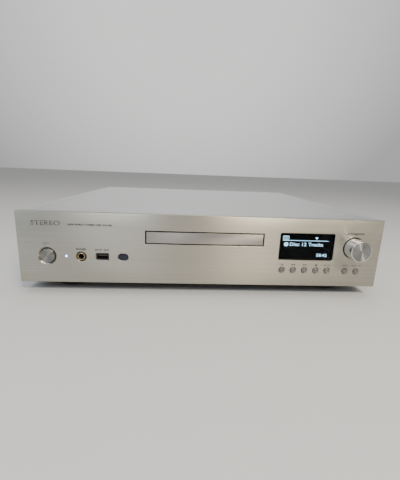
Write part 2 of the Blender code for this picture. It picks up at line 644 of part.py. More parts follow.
def motor_pulley():
    """Brass pulley pressed on the motor shaft; the shaft is part of it."""
    profile = [(1.0, 47.0), (1.0, 57.0)] + pulley_profile(3.0, 4.6, 57.0, 61.4)
    return piece("motor_pulley", "gold", turned("Z", (MOTOR_X, GEAR_Y), profile, 20),
                 origin=(MOTOR_X, GEAR_Y, 57.0))


def pulley_gear():
    """Large belt pulley with a small pinion moulded on top."""
    profile = pulley_profile(11.0, 12.7, 57.0, 61.4) + [(5.0, 61.4), (5.0, 64.2)]
    wheel = turned("Z", (PULLEY_X, GEAR_Y), profile, 20)
    pinion = prism("Z", gear_outline(PULLEY_X, GEAR_Y, SMALL_TEETH, 180.0 / SMALL_TEETH), 63.9, 65.6)
    bore = turned("Z", (PULLEY_X, GEAR_Y), [(1.8, 56.0), (1.8, 67.0)], 12)
    return piece("pulley_gear", "white_plastic", wheel, add=[pinion], cut=[bore],
                 origin=(PULLEY_X, GEAR_Y, 57.0))


def drive_gear():
    """Pinion between the pulley gear and the tray's rack."""
    hub = turned("Z", (DRIVE_X, GEAR_Y), [(4.0, 56.9), (4.0, 64.2)], 16)
    wheel = prism("Z", gear_outline(DRIVE_X, GEAR_Y, DRIVE_TEETH, 0.0), 63.9, 65.6)
    bore = turned("Z", (DRIVE_X, GEAR_Y), [(1.8, 55.0), (1.8, 67.0)], 12)
    return piece("drive_gear", "white_plastic", wheel, add=[hub], cut=[bore], origin=(DRIVE_X, GEAR_Y, 57.0))


def belt_outline(near, far, steps):
    """Open belt line round two circles on the same Y: the small one at MOTOR_X, the large one at PULLEY_X."""
    span = PULLEY_X - MOTOR_X
    lean = math.asin((far - near) / span)
    points = []
    for step in range(steps + 1):
        angle = math.pi / 2 + lean + (math.pi - 2 * lean) * step / steps
        points.append((MOTOR_X + near * math.cos(angle), GEAR_Y + near * math.sin(angle)))
    for step in range(steps + 1):
        angle = -math.pi / 2 - lean + (math.pi + 2 * lean) * step / steps
        points.append((PULLEY_X + far * math.cos(angle), GEAR_Y + far * math.sin(angle)))
    return points


def loading_belt():
    outer = prism("Z", belt_outline(4.15, 12.15, 9), 58.9, 60.1)
    inner = prism("Z", belt_outline(3.3, 11.3, 9), 58.0, 61.0)
    return piece("loading_belt", "rubber", outer, cut=[inner])


def cam_slider():
    """Slider with the sloping slot that lowers and lifts the traverse."""
    drop = (PIVOT_Y - CAM_Y) * math.sin(math.radians(TRAVERSE_DROP_DEG))
    plate = box(-31.0, 15.0, CAM_Y - 1.5, CAM_Y + 1.5, 36.5, 60.0)
    slope = math.atan2(drop, CAM_STROKE)
    half = 2.1
    points = []
    for centre, start in (((0.6, PIN_Z + 0.3), -90.0), ((-CAM_STROKE - 0.6, PIN_Z - drop - 0.3), 90.0)):
        for step in range(7):
            angle = slope + math.radians(start + 180.0 * step / 6)
            points.append((centre[0] + half * math.cos(angle), centre[1] + half * math.sin(angle)))
    slot = prism("Y", points, CAM_Y - 3.0, CAM_Y + 3.0)
    return piece("cam_slider", "grey_plastic", plate, cut=[slot], origin=(0.0, CAM_Y, 48.0))


def traverse_frame():
    """Steel traverse with ears for its rear pivot, a front cam pin and saddles for the two rods."""
    plate = box(-40.0, 40.0, -134.0, 10.0, 53.0, 54.6)
    ears = [box(side * 39.0 - 1.0, side * 39.0 + 1.0, 0.5, 9.5, 54.0, 58.5) for side in (-1, 1)]
    pins = [turned("X", (PIVOT_Y, PIVOT_Z), [(1.8, side * 39.5), (1.8, side * 44.4)], 20) for side in (-1, 1)]
    cam_pin = turned("Y", (0.0, PIN_Z), [(1.5, CAM_Y - 2.6), (1.5, -133.0)], 20)
    saddles = []
    for side in (-1, 1):
        for y in (-103.0, -36.0):
            saddles.append(box(side * ROD_X - 2.6, side * ROD_X + 2.6, y, y + 4.0, 54.0, 62.6))
    saddles.append(box(SCREW_X - 2.6, SCREW_X + 2.6, -103.0, -99.0, 54.0, 62.6))
    holes = [turned("Y", (x, ROD_Z), [(1.8, -105.0), (1.8, -31.0)], 16) for x in (-ROD_X, ROD_X)]
    holes.append(turned("Y", (SCREW_X, ROD_Z), [(1.8, -105.0), (1.8, -98.0)], 16))
    window = box(-19.5, 19.5, -98.0, -39.0, 50.0, 58.0)
    return piece("traverse_frame", "zinc_steel", plate,
                 add=[joined(ears + saddles), joined(pins + [cam_pin])],
                 cut=[window, joined(holes)], origin=(0.0, PIVOT_Y, PIVOT_Z))


def spindle_motor():
    case = turned("Z", (0.0, DISC_Y), [(11.0, 54.9), (11.0, 64.6), (10.2, 65.4)], 24)
    bore = turned("Z", (0.0, DISC_Y), [(1.4, 57.0), (1.4, 67.0)], 12)
    return piece("spindle_motor", "zinc_steel", case, cut=[bore], origin=(0.0, DISC_Y, 54.9))


def turntable():
    """Disc platform with its centring cone; the motor's shaft is part of it."""
    profile = [(1.0, 58.0), (1.0, 68.2), (14.0, 68.2), (14.5, 68.6), (14.5, 70.0), (7.45, 70.0), (7.1, 71.4),
               (5.4, 73.0)]
    return piece("turntable", "black_plastic", turned("Z", (0.0, DISC_Y), profile, 24),
                 origin=(0.0, DISC_Y, 70.0))


def guide_rod(name, x):
    return piece(name, "nickel", turned("Y", (x, ROD_Z), [(1.5, -104.0), (1.5, -31.0)], 12),
                 origin=(x, -31.0, ROD_Z))


def pickup_sled():
    """Laser pickup: carriage on the two rods, its lens in the middle and a nut arm round the lead screw."""
    carriage = box(-29.0, 29.0, -97.0, -75.0, 57.6, 63.8)
    belly = box(-18.0, 18.0, -97.0, -75.0, 50.6, 58.0)
    arm = box(28.0, 38.0, -90.0, -82.0, 57.0, 63.0)
    lens = turned("Z", (0.0, DISC_Y + 24.0), [(7.0, 63.0), (7.0, 65.2), (3.6, 65.2), (3.6, 67.8)], 20)
    bores = [turned("Y", (x, ROD_Z), [(1.9, -99.0), (1.9, -73.0)], 16) for x in (-ROD_X, ROD_X, SCREW_X)]
    return piece("pickup_sled", "grey_plastic", carriage, add=[belly, arm, lens], cut=[joined(bores)],
                 origin=(0.0, DISC_Y + 24.0, ROD_Z))


def lead_screw():
    """Screw that drives the sled; it ends in the sled motor."""
    return piece("lead_screw", "nickel", turned("Y", (SCREW_X, ROD_Z), [(1.4, -104.0), (1.4, -28.0)], 12),
                 origin=(SCREW_X, -28.0, ROD_Z))


def sled_motor():
    case = turned("Y", (SCREW_X, ROD_Z), [(4.9, -31.0), (4.9, -12.0)], 20)
    bore = turned("Y", (SCREW_X, ROD_Z), [(1.8, -33.0), (1.8, -27.0)], 16)
    return piece("sled_motor", "zinc_steel", case, cut=[bore])


def clamper_bridge():
    """Steel strip across the loader with the hole the clamper hangs in."""
    strip = box(-73.5, 73.5, DISC_Y - 17.0, DISC_Y + 17.0, 78.3, 79.8)
    hole = turned("Z", (0.0, DISC_Y), [(7.6, 77.0), (7.6, 81.0)], 24)
    return piece("clamper_bridge", "zinc_steel", strip, cut=[hole])


def clamper_puck():
    """Clamper that presses the disc on the turntable and turns with it."""
    profile = [(13.0, 71.6), (13.0, 75.0), (6.6, 75.6), (6.6, 80.1), (11.0, 80.1), (11.0, 81.2), (10.2, 81.8)]
    hollow = turned("Z", (0.0, DISC_Y), [(8.4, 70.0), (8.4, 73.6)], 20)
    return piece("clamper_puck", "white_plastic", turned("Z", (0.0, DISC_Y), profile, 24), cut=[hollow],
                 origin=(0.0, DISC_Y, 80.1))


def build():
    clear_scene()
    front_panel()
    side_section("side_left", -1)
    side_section("side_right", 1)
    top_plate()
    bottom_chassis()
    rear_panel()
    corners = (("fl", -1, -1), ("fr", 1, -1), ("rl", -1, 1), ("rr", 1, 1))
    for label, side, end in corners:
        foot(f"foot_{label}", side * FOOT_X, end * FOOT_Y)
        screw_y = TOP_SCREW_FRONT_Y if end < 0 else TOP_SCREW_REAR_Y
        top_screw(f"top_screw_{label}", side * TOP_SCREW_X, screw_y)
    display_window()
    display_module()
    power_led()
    ir_window()
    phones_jack()
    usb_port()
    power_button()
    for label, x in zip(TRANSPORT_NAMES, TRANSPORT_X):
        round_button(f"button_{label}", x, TRANSPORT_Z)
    for label, x in zip(SMALL_NAMES, SMALL_X):
        round_button(f"button_{label}", x, SMALL_Z)
    select_knob()
    encoder_shaft()
    front_board()
    xlr_socket("xlr_left", XLR_LEFT)
    xlr_socket("xlr_right", XLR_RIGHT)
    phono_socket("rca_left", RCA_LEFT, "gold")
    phono_socket("rca_right", RCA_RIGHT, "gold")
    phono_socket("coaxial_out", COAXIAL, "nickel")
    optical_out()
    lan_port()
    ac_inlet()
    main_board()
    power_board()
    loader_frame()
    disc_tray()
    tray_front()
    loading_motor()
    motor_pulley()
    pulley_gear()
    drive_gear()
    loading_belt()
    cam_slider()
    traverse_frame()
    spindle_motor()
    turntable()
    guide_rod("guide_rod_left", -ROD_X)
    guide_rod("guide_rod_right", ROD_X)
    pickup_sled()
    lead_screw()
    sled_motor()
    clamper_bridge()
    clamper_puck()


build()
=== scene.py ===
"""Looks of the hi-fi disc player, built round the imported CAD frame.

Shapes are drawn in millimetres in the frame's own axes: X to the right, Y to the rear, Z up.
"""
import math

import bmesh
import bpy
from mathutils import Matrix, Vector


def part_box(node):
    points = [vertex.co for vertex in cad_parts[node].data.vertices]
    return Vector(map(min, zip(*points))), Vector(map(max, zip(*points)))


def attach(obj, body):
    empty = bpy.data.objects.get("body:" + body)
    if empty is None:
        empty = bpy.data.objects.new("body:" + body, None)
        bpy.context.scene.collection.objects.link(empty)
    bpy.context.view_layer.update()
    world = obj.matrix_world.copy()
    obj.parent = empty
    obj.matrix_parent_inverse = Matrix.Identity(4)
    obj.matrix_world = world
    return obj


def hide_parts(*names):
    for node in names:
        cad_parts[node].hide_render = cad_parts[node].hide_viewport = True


MM = 0.001

# Camera: left of the middle, a little above the lid
CAMERA_PLACE = (-0.0249, -0.5025, 0.1517)
CAMERA_TURN_DEG = (77.61, -2.18, -2.80)
CAMERA_LENS = 20.77
CAMERA_SENSOR = 36.0
CAMERA_SHIFT_Y = -0.023

# Surroundings: palest towards this direction, with a grey for each value of the dot product
WORLD_TOWARDS = (0.0, 0.85, 0.43)
WORLD_STOPS = ((0.20, (0.28, 0.282, 0.286)), (0.72, (0.46, 0.46, 0.46)), (0.93, (1.0, 1.0, 0.99)))
FLOOR_HALF = 6000.0
FLOOR_THICK = 6.0

# Lamps: name, place, aim, size in metres, watts, colour
LAMPS = (
    ("key_light", (0.38, -1.10, 1.05), (0.05, -0.15, 0.05), (0.30, 0.30), 13.0, (1.0, 0.90, 0.74)),
    ("cool_light", (-0.36, -1.15, 0.85), (-0.1, -0.15, 0.05), (0.35, 0.35), 4.5, (0.86, 0.92, 1.0)),
    ("left_light", (-0.95, -1.00, 0.80), (-0.15, -0.20, 0.05), (0.40, 0.40), 3.2, (0.62, 0.80, 1.0)),
    ("right_light", (0.80, -1.10, 1.05), (0.15, -0.20, 0.05), (0.10, 0.10), 3.4, (1.0, 0.90, 0.74)),
    ("top_light", (0.0, -0.05, 1.6), (0.0, -0.05, 0.1), (1.3, 1.0), 9.0, (1.0, 0.99, 0.97)),
)

# How far in an eased edge turns, as a share of its chamfer, and the smallest radius that is drawn
EASE_SHARE = 0.3
TIP = 0.05

# Front panel openings: mouths are width, height and corner radius
CUTTER_REACH = 2.0
PANEL_CHAMFER = 0.7
HOLE_CHAMFER = 0.25
TRAY_GAP = 1.25
TRAY_CHAMFER = 0.4
TRAY_CORNER = 0.3
WINDOW_GAP = 0.3
WINDOW_CHAMFER = 0.7
WINDOW_CORNER = 2.2
INFRA_MOUTH = (12.0, 8.4, 4.1)
INFRA_CHAMFER = 0.45
USB_MOUTH = (14.0, 8.0, 0.5)
USB_CHAMFER = 0.9
LED_HOLE = 1.35
PHONES_HOLE = 5.9
POWER_HOLE = 8.9
POWER_RING_RADIUS = 10.6
POWER_RING_DEPTH = 1.5
KNOB_GAP = 0.85
BUTTON_GAP = 0.35

# Push buttons: a dish is (radius, depth behind the face), a rim (distance in from the side, depth)
BUTTON_RADIUS = 3.5
BUTTON_DISH = ((TIP, 0.55), (0.8, 0.50), (1.5, 0.37), (2.2, 0.17))
BUTTON_RIM = ((0.50, 0.0), (0.22, 0.06), (0.07, 0.20), (0.0, 0.42))
BUTTON_FLANGE = 5.6
BUTTON_STEM = 1.5
POWER_RADIUS = 8.3
POWER_DISH = ((TIP, 0.25), (2.5, 0.22), (5.0, 0.12))
POWER_RIM = ((0.8, 0.0), (0.35, 0.08), (0.1, 0.28), (0.0, 0.6))
POWER_FLANGE = 10.8
POWER_STEM = 2.5
FLANGE_GAP = 0.3
FLANGE_THICK = 1.2

# Lettering and signs
PRINT_DEPTH = 0.03
LIT_DEPTH = 0.05
LOGO_DEPTH = 0.35
CAPITAL_SHARE = 0.7
SIGN_SCALE = 1.25
SIGN_HEIGHT = 1.7

# Rear sockets: holes (radius, sides) or (width, height), and the Y of the wells' bottoms
ROUND_HOLES = (("xlr_left", 12.1, 72), ("xlr_right", 12.1, 72), ("rca_left", 6.0, 48),
               ("rca_right", 6.0, 48), ("coaxial_out", 6.0, 48))
BOX_HOLES = (("optical_out", 12.0, 12.0), ("lan_port", 17.2, 14.8), ("ac_inlet", 28.0, 21.0))
XLR_FLOOR = 180.0
LAN_FLOOR = 182.0
LAN_CLIP_FLOOR = 184.0
INLET_FLOOR = 182.0

CORNERS = ("fl", "fr", "rl", "rr")

# Shading: angles in degrees, the weld's reach in millimetres
SHARP_DEG = 32
KEPT_SPLIT_DEG = 36
KEPT_BEVEL_DEG = 40
KEPT_WELD = 0.002
KEPT_FACE_WEIGHT = 90

# Grain: scale, detail and share of its two noises, and the part of their sum that is spread out
FINE = (1.0, 3.0, 0.6)
BROAD = (0.17, 2.0, 0.4)
NOISE_LOW = 0.3
NOISE_HIGH = 0.7

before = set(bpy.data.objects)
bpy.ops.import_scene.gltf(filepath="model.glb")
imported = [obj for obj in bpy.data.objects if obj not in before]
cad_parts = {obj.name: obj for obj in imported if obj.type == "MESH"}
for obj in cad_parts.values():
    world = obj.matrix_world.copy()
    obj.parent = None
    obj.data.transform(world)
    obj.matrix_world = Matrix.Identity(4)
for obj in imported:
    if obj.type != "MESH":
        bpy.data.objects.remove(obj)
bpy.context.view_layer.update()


# ---------------------------------------------------------------- places in the frame

def span(node):
    """Lowest and highest corner of a CAD node in millimetres."""
    low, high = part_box(node)
    return low / MM, high / MM


def middle(node):
    low, high = span(node)
    return (low + high) / 2


def face_centre(node):
    """The middle of a CAD node as the front or the rear shows it: X and Z."""
    at = middle(node)
    return at.x, at.z


def face_size(node, gap=0.0):
    """Width and height of a CAD node as the front shows it, with a gap all round."""
    low, high = span(node)
    return high.x - low.x + 2 * gap, high.z - low.z + 2 * gap


# ---------------------------------------------------------------- shapes

def place(axis, u, v, along):
    return {"X": (along, u, v), "Y": (u, along, v), "Z": (u, v, along)}[axis]


def loft(rings, closed=False):
    """Solid through rings of the same point count: capped at both ends, or closed on itself."""
    shape = bmesh.new()
    loops = [[shape.verts.new(point) for point in ring] for ring in rings]
    pairs = list(zip(loops, loops[1:]))
    if closed:
        pairs.append((loops[-1], loops[0]))
    count = len(loops[0])
    for near, far in pairs:
        for index in range(count):
            follow = (index + 1) % count
            shape.faces.new((near[index], near[follow], far[follow], far[index]))
    if not closed:
        shape.faces.new(loops[0])
        shape.faces.new(list(reversed(loops[-1])))
    bmesh.ops.recalc_face_normals(shape, faces=shape.faces)
    return shape


def layers(outlines, closed=False):
    """Loft along Y through (outline, place along Y) pairs."""
    return loft([[place("Y", u, v, along) for u, v in outline] for outline, along in outlines], closed)


def prism(axis, outline, low, high):
    return loft([[place(axis, u, v, low) for u, v in outline], [place(axis, u, v, high) for u, v in outline]])


def circle(u, v, radius, count):
    return [(u + radius * math.cos(math.tau * k / count), v + radius * math.sin(math.tau * k / count))
            for k in range(count)]


def turned(axis, centre, profile, count=72, closed=False):
    """Solid of revolution from (radius, position along the axis) pairs; closed makes a tube."""
    rings = [[place(axis, u, v, along) for u, v in circle(centre[0], centre[1], radius, count)]
             for radius, along in profile]
    return loft(rings, closed)


def rounded(u, v, width, height, radius, steps=8):
    points = []
    for side_u, side_v, start in ((1, 1, 0), (-1, 1, 90), (-1, -1, 180), (1, -1, 270)):
        centre_u = u + side_u * (width / 2 - radius)
        centre_v = v + side_v * (height / 2 - radius)
        for step in range(steps + 1):
            angle = math.radians(start + 90 * step / steps)
            points.append((centre_u + radius * math.cos(angle), centre_v + radius * math.sin(angle)))
    return points


def soft_box(low, high, bevel=0.3):
    """Box with every edge rounded."""
    shape = prism("Z", [(low[0], low[1]), (high[0], low[1]), (high[0], high[1]), (low[0], high[1])],
                  low[2], high[2])
    bmesh.ops.bevel(shape, geom=list(shape.edges), offset=bevel, segments=2, profile=0.6, affect="EDGES")
    return shape


def box_about(at, half, y, z, bevel):
    """Soft box centred on X `at` with a half width, from y[0] to y[1] and from z[0] to z[1]."""
    return soft_box((at - half, y[0], z[0]), (at + half, y[1], z[1]), bevel)


def slab(at, size, radius, front, back, edge):
    """Rounded rectangle facing -Y whose front edge is rounded off by `edge`."""
    outlines = []
    ease = edge * EASE_SHARE
    for inset, along in ((edge, front), (ease, front + ease), (0.0, front + edge), (0.0, back)):
        corner = max(radius - inset, TIP)
        outlines.append((rounded(at[0], at[1], size[0] - 2 * inset, size[1] - 2 * inset, corner), along))
    return layers(outlines)


def joined(shapes):
    whole = bmesh.new()
    for shape in shapes:
        scratch = bpy.data.meshes.new("scratch")
        shape.to_mesh(scratch)
        whole.from_mesh(scratch)
        bpy.data.meshes.remove(scratch)
        shape.free()
    return whole


def show(made):
    bpy.context.scene.collection.objects.link(made)
    return made


def mesh_object(name, shape, origin=(0.0, 0.0, 0.0)):
    shape.transform(Matrix.Translation(-Vector(origin)))
    shape.transform(Matrix.Scale(MM, 4))
    mesh = bpy.data.meshes.new(name)
    shape.to_mesh(mesh)
    shape.free()
    made = bpy.data.objects.new(name, mesh)
    made.location = Vector(origin) * MM
    return show(made)


def carve(made, cuts, operation, origin):
    """Cuts the shapes out of the object, or welds them on, and keeps the result as its mesh."""
    for number, cut in enumerate(cuts):
        tool = mesh_object(f"{made.name}_tool{number}", cut, origin)
        boolean = made.modifiers.new("boolean", "BOOLEAN")
        boolean.operation = operation
        boolean.solver = "EXACT"
        boolean.object = tool
        bpy.context.view_layer.update()
        graph = bpy.context.evaluated_depsgraph_get()
        mesh = bpy.data.meshes.new_from_object(made.evaluated_get(graph))
        made.modifiers.clear()
        made.data = mesh
        bpy.data.objects.remove(tool, do_unlink=True)


def finish_piece(made, material, body, replaces=()):
    made.data.materials.clear()
    made.data.materials.append(material)
    made.data.shade_smooth()
    made.data.set_sharp_from_angle(angle=math.radians(SHARP_DEG))
    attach(made, body)
    if replaces:
        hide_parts(*replaces)
    return made


def piece(name, shape, material, body="cabinet", replaces=(), cuts=(), welds=(),
          origin=(0.0, 0.0, 0.0)):
    made = mesh_object(name, shape, origin)
    carve(made, welds, "UNION", origin)
    carve(made, cuts, "DIFFERENCE", origin)
    return finish_piece(made, material, body, replaces)


def paint_shade_on_walls(made, material, low, high):
    """Second material, a near-black painted shade, on the hole walls: faces along Y that lie inside the
    outline low to high.
    """
    margin = 0.1
    most_tilt = 0.3
    made.data.materials.append(material)
    for face in made.data.polygons:
        centre = face.center / MM
        inside_x = low.x + margin < centre.x < high.x - margin
        inside_z = low.z + margin < centre.z < high.z - margin
        if inside_x and inside_z and abs(face.normal.y) < most_tilt:
            face.material_index = 1


def refine(node, material, bevel):
    """Keeps a CAD node, with smooth shading between its sharp edges, softened edges and a new material."""
    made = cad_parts[node]
    mesh = made.data
    for attribute in [item.name for item in mesh.attributes if item.name == "custom_normal"]:
        mesh.attributes.remove(mesh.attributes[attribute])
    mesh.polygons.foreach_set("use_smooth", [True] * len(mesh.polygons))
    mesh.materials.clear()
    mesh.materials.append(material)
    weld = made.modifiers.new("weld", "WELD")
    weld.merge_threshold = KEPT_WELD * MM
    if bevel > 0.0:
        edge = made.modifiers.new("edge", "BEVEL")
        edge.width = bevel * MM
        edge.segments = 2
        edge.limit_method = "ANGLE"
        edge.angle_limit = math.radians(KEPT_BEVEL_DEG)
    split = made.modifiers.new("split", "EDGE_SPLIT")
    split.split_angle = math.radians(KEPT_SPLIT_DEG)
    even = made.modifiers.new("even", "WEIGHTED_NORMAL")
    even.weight = KEPT_FACE_WEIGHT
    even.keep_sharp = True


# ---------------------------------------------------------------- materials

def shade(colour, factor):
    return tuple(min(1.0, channel * factor) for channel in colour)


def cube(size):
    return (size, size, size)


def start_material(name, colour, roughness, metallic):
    made = bpy.data.materials.new(name)
    made.use_nodes = True
    made.diffuse_color = (*colour, 1.0)
    shader = made.node_tree.nodes["Principled BSDF"]
    shader.inputs["Base Color"].default_value = (*colour, 1.0)
    shader.inputs["Roughness"].default_value = roughness
    shader.inputs["Metallic"].default_value = metallic
    return made, shader


def scaled(made, value, factor):
    """Node that gives the socket's value times a number."""
    node = made.node_tree.nodes.new("ShaderNodeMath")
    node.operation = "MULTIPLY"
    node.inputs[1].default_value = factor
    made.node_tree.links.new(value, node.inputs[0])
    return node


def noise(made, vector, scale, detail, share):
    """Node that gives a share of a noise."""
    node = made.node_tree.nodes.new("ShaderNodeTexNoise")
    node.inputs["Scale"].default_value = scale
    node.inputs["Detail"].default_value = detail
    made.node_tree.links.new(vector, node.inputs["Vector"])
    return scaled(made, node.outputs["Fac"], share)


def remap(made, value, low=0.0, high=1.0):
    """Spreads the middle of the noise over low to high."""
    node = made.node_tree.nodes.new("ShaderNodeMapRange")
    node.inputs["From Min"].default_value = NOISE_LOW
    node.inputs["From Max"].default_value = NOISE_HIGH
    node.inputs["To Min"].default_value = low
    node.inputs["To Max"].default_value = high
    made.node_tree.links.new(value, node.inputs["Value"])
    return node.outputs["Result"]


def grain_place(made, cell, rings):
    """The object's own coordinates counted in grains: along X, Y and Z, or outwards from its Y axis."""
    nodes = made.node_tree.nodes
    links = made.node_tree.links
    mapping = nodes.new("ShaderNodeMapping")
    links.new(nodes.new("ShaderNodeTexCoord").outputs["Object"], mapping.inputs["Vector"])
    if not rings:
        mapping.inputs["Scale"].default_value = [1.0 / (size * MM) for size in cell]
        return mapping.outputs["Vector"]
    mapping.inputs["Scale"].default_value = (1.0, 0.0, 1.0)
    distance = nodes.new("ShaderNodeVectorMath")
    distance.operation = "LENGTH"
    links.new(mapping.outputs["Vector"], distance.inputs[0])
    line = nodes.new("ShaderNodeCombineXYZ")
    count = scaled(made, distance.outputs["Value"], 1.0 / (cell[0] * MM))
    links.new(count.outputs["Value"], line.inputs["X"])
    return line.outputs["Vector"]


def grain(name, colour, roughness, metallic=0.0, cell=(1.0, 1.0, 1.0), tone=0.05, spread=0.05,
          bump=0.15, depth=0.02, rings=False, turned_axis=None, aniso=0.0, coat=0.0):
    """Principled material whose colour, roughness and bump follow a fine grain.

    cell is the grain's size in millimetres along X, Y and Z. rings lays the grain in circles round the
    piece's own Y axis. aniso stretches the gloss, by circles round turned_axis.
    """
    made, shader = start_material(name, colour, roughness, metallic)
    nodes = made.node_tree.nodes
    links = made.node_tree.links
    vector = grain_place(made, cell, rings)
    broad = noise(made, vector, *BROAD)
    blend = noise(made, vector, *FINE)
    blend.operation = "MULTIPLY_ADD"
    links.new(broad.outputs["Value"], blend.inputs[2])
    factor = blend.outputs["Value"]
    mix = nodes.new("ShaderNodeMix")
    mix.data_type = "RGBA"
    mix.inputs["A"].default_value = (*shade(colour, 1.0 - tone), 1.0)
    mix.inputs["B"].default_value = (*shade(colour, 1.0 + tone), 1.0)
    links.new(remap(made, factor), mix.inputs["Factor"])
    links.new(mix.outputs["Result"], shader.inputs["Base Color"])
    gloss = remap(made, factor, max(0.0, roughness - spread), min(1.0, roughness + spread))
    links.new(gloss, shader.inputs["Roughness"])
    relief = nodes.new("ShaderNodeBump")
    relief.inputs["Strength"].default_value = bump
    relief.inputs["Distance"].default_value = depth * MM
    links.new(factor, relief.inputs["Height"])
    links.new(relief.outputs["Normal"], shader.inputs["Normal"])
    if aniso > 0.0:
        shader.inputs["Anisotropic"].default_value = aniso
        shader.inputs["Anisotropic Rotation"].default_value = 0.25
        tangent = nodes.new("ShaderNodeTangent")
        tangent.direction_type = "RADIAL"
        tangent.axis = turned_axis
        links.new(tangent.outputs["Tangent"], shader.inputs["Tangent"])
    shader.inputs["Coat Weight"].default_value = coat
    return made


def glowing(name, colour, strength, pitch):
    """Lit material whose light is broken into fine rows, about two `pitch` (in millimetres) apart."""
    dimmest = 0.75
    made, shader = start_material(name, colour, 0.4, 0.0)
    nodes = made.node_tree.nodes
    links = made.node_tree.links
    wave = nodes.new("ShaderNodeTexWave")
    wave.bands_direction = "Z"
    wave.inputs["Scale"].default_value = 1.0 / (pitch * MM) / math.tau
    links.new(nodes.new("ShaderNodeTexCoord").outputs["Object"], wave.inputs["Vector"])
    level = nodes.new("ShaderNodeMapRange")
    level.inputs["To Min"].default_value = strength * dimmest
    level.inputs["To Max"].default_value = strength
    links.new(wave.outputs["Fac"], level.inputs["Value"])
    shader.inputs["Emission Color"].default_value = (*colour, 1.0)
    links.new(level.outputs["Result"], shader.inputs["Emission Strength"])
    return made


def with_surface(made, **values):
    """The same material with more of its surface's values set, such as IOR."""
    shader = made.node_tree.nodes["Principled BSDF"]
    for label, value in values.items():
        shader.inputs[label.replace("_", " ")].default_value = value
    return made


BRUSHED = {"cell": (150.0, 4.0, 0.35), "tone": 0.13, "spread": 0.08, "bump": 0.35, "depth": 0.012,
           "turned_axis": "Z", "aniso": 0.92}
RINGED = {"tone": 0.12, "spread": 0.06, "depth": 0.01, "rings": True, "turned_axis": "Y"}

# Metals
FRONT = grain("front_brushed", (0.485, 0.46, 0.393), 0.38, 1.0, **BRUSHED)
TRAY_FRONT = grain("tray_brushed", (0.40, 0.367, 0.342), 0.38, 1.0, **BRUSHED)
# Near-black painted shade for the walls of the panel's openings and for the USB shell, so the gaps look dark
PAINTED_SHADE_WALL = grain("hole_wall_painted_shade", cube(0.05), 0.5, 0.6, cell=cube(0.5), tone=0.15, spread=0.06)
SATIN = grain("satin_aluminium", cube(0.64), 0.34, 1.0, cell=(60.0, 0.5, 60.0), bump=0.25, depth=0.015)
SPUN = grain("spun_aluminium", (0.36, 0.355, 0.345), 0.48, 1.0, cell=cube(0.16), bump=0.35, aniso=0.97,
             **RINGED)
# Darker copy of the spun aluminium for the push buttons: painted shade that deepens the dark wedges on their
# faces
SPUN_SMALL_SHADED = grain("spun_aluminium_small_shaded", (0.27, 0.265, 0.25), 0.42, 1.0, cell=cube(0.14), bump=0.3,
                   aniso=0.95, **RINGED)
TURNED = grain("turned_aluminium", (0.76, 0.76, 0.755), 0.24, 1.0, cell=(6.0, 0.18, 6.0), spread=0.04,
               bump=0.3, depth=0.01)
ZINC = grain("zinc_plate", (0.58, 0.585, 0.60), 0.34, 1.0, cell=cube(3.0), tone=0.08, spread=0.08,
             bump=0.1, depth=0.01)
SCREW = grain("screw_steel", (0.58, 0.58, 0.585), 0.28, 1.0, cell=cube(0.3), tone=0.1, spread=0.06,
              bump=0.2, depth=0.01)
GOLD = grain("gold_plate", (0.86, 0.62, 0.30), 0.22, 1.0, cell=(0.5, 0.25, 0.5), tone=0.06, depth=0.01)
NICKEL = grain("nickel_plate", (0.62, 0.61, 0.59), 0.24, 1.0, cell=(1.0, 0.4, 1.0), tone=0.06, depth=0.01)
LOGO = grain("polished_letters", cube(0.16), 0.22, 1.0, cell=(5.0, 5.0, 0.3), tone=0.06, spread=0.04)

# Paint, plastics and boards
BLACK_STEEL = grain("black_paint", (0.022, 0.022, 0.024), 0.5, cell=cube(0.5), tone=0.15, spread=0.08,
                    bump=0.5, depth=0.04)
RUBBER = grain("rubber", cube(0.018), 0.82, cell=cube(0.6), tone=0.2, spread=0.06, bump=0.5, depth=0.05)
BLACK = grain("black_plastic", (0.02, 0.02, 0.021), 0.46, cell=cube(0.45), tone=0.15, spread=0.06,
              bump=0.4, depth=0.03)
GREY = grain("grey_plastic", (0.16, 0.16, 0.165), 0.46, cell=cube(0.45), tone=0.1, spread=0.06, bump=0.3)
WHITE = grain("white_acetal", (0.78, 0.77, 0.72), 0.42, cell=cube(1.2), tone=0.04)
RED = grain("red_insulator", (0.50, 0.02, 0.02), 0.38, cell=cube(0.8), tone=0.08)
BOARD = grain("solder_mask", (0.02, 0.13, 0.06), 0.42, cell=cube(2.4), tone=0.3, spread=0.08, bump=0.3,
              depth=0.03, coat=0.3)
# Near-black board behind the panel: painted shade, so the tray slot shows dark instead of green
SHADED_BOARD = grain("dark_solder_mask_painted_shade", (0.012, 0.018, 0.015), 0.45, cell=cube(2.4), tone=0.3, spread=0.08,
                   bump=0.3, depth=0.03, coat=0.2)
PRINT = grain("panel_print", (0.022, 0.022, 0.024), 0.55, cell=cube(0.3), tone=0.2)
REAR_PRINT = grain("rear_print", (0.72, 0.72, 0.71), 0.55, cell=cube(0.3), tone=0.06)

# Windows and lights
WINDOW = with_surface(grain("display_acrylic", (0.55, 0.57, 0.60), 0.001, cell=cube(9.0), tone=0.04,
                            spread=0.001, bump=0.01, depth=0.01),
                      Transmission_Weight=1.0, IOR=1.12)
IR = with_surface(grain("ir_filter", (0.018, 0.021, 0.031), 0.24, cell=cube(2.0), tone=0.15, spread=0.03,
                        bump=0.05, depth=0.01),
                  Specular_IOR_Level=0.3)
SCREEN = with_surface(grain("screen_glass", (0.003, 0.0035, 0.005), 0.24, cell=(6.0, 6.0, 0.4), tone=0.2,
                            spread=0.03, bump=0.05, depth=0.01),
                      Specular_IOR_Level=0.1)
LIT = glowing("lit_signs", (0.45, 0.80, 1.0), 5.0, 0.4)
LED = glowing("lit_led", (0.22, 0.30, 1.0), 14.0, 0.4)


# ---------------------------------------------------------------- lettering and signs

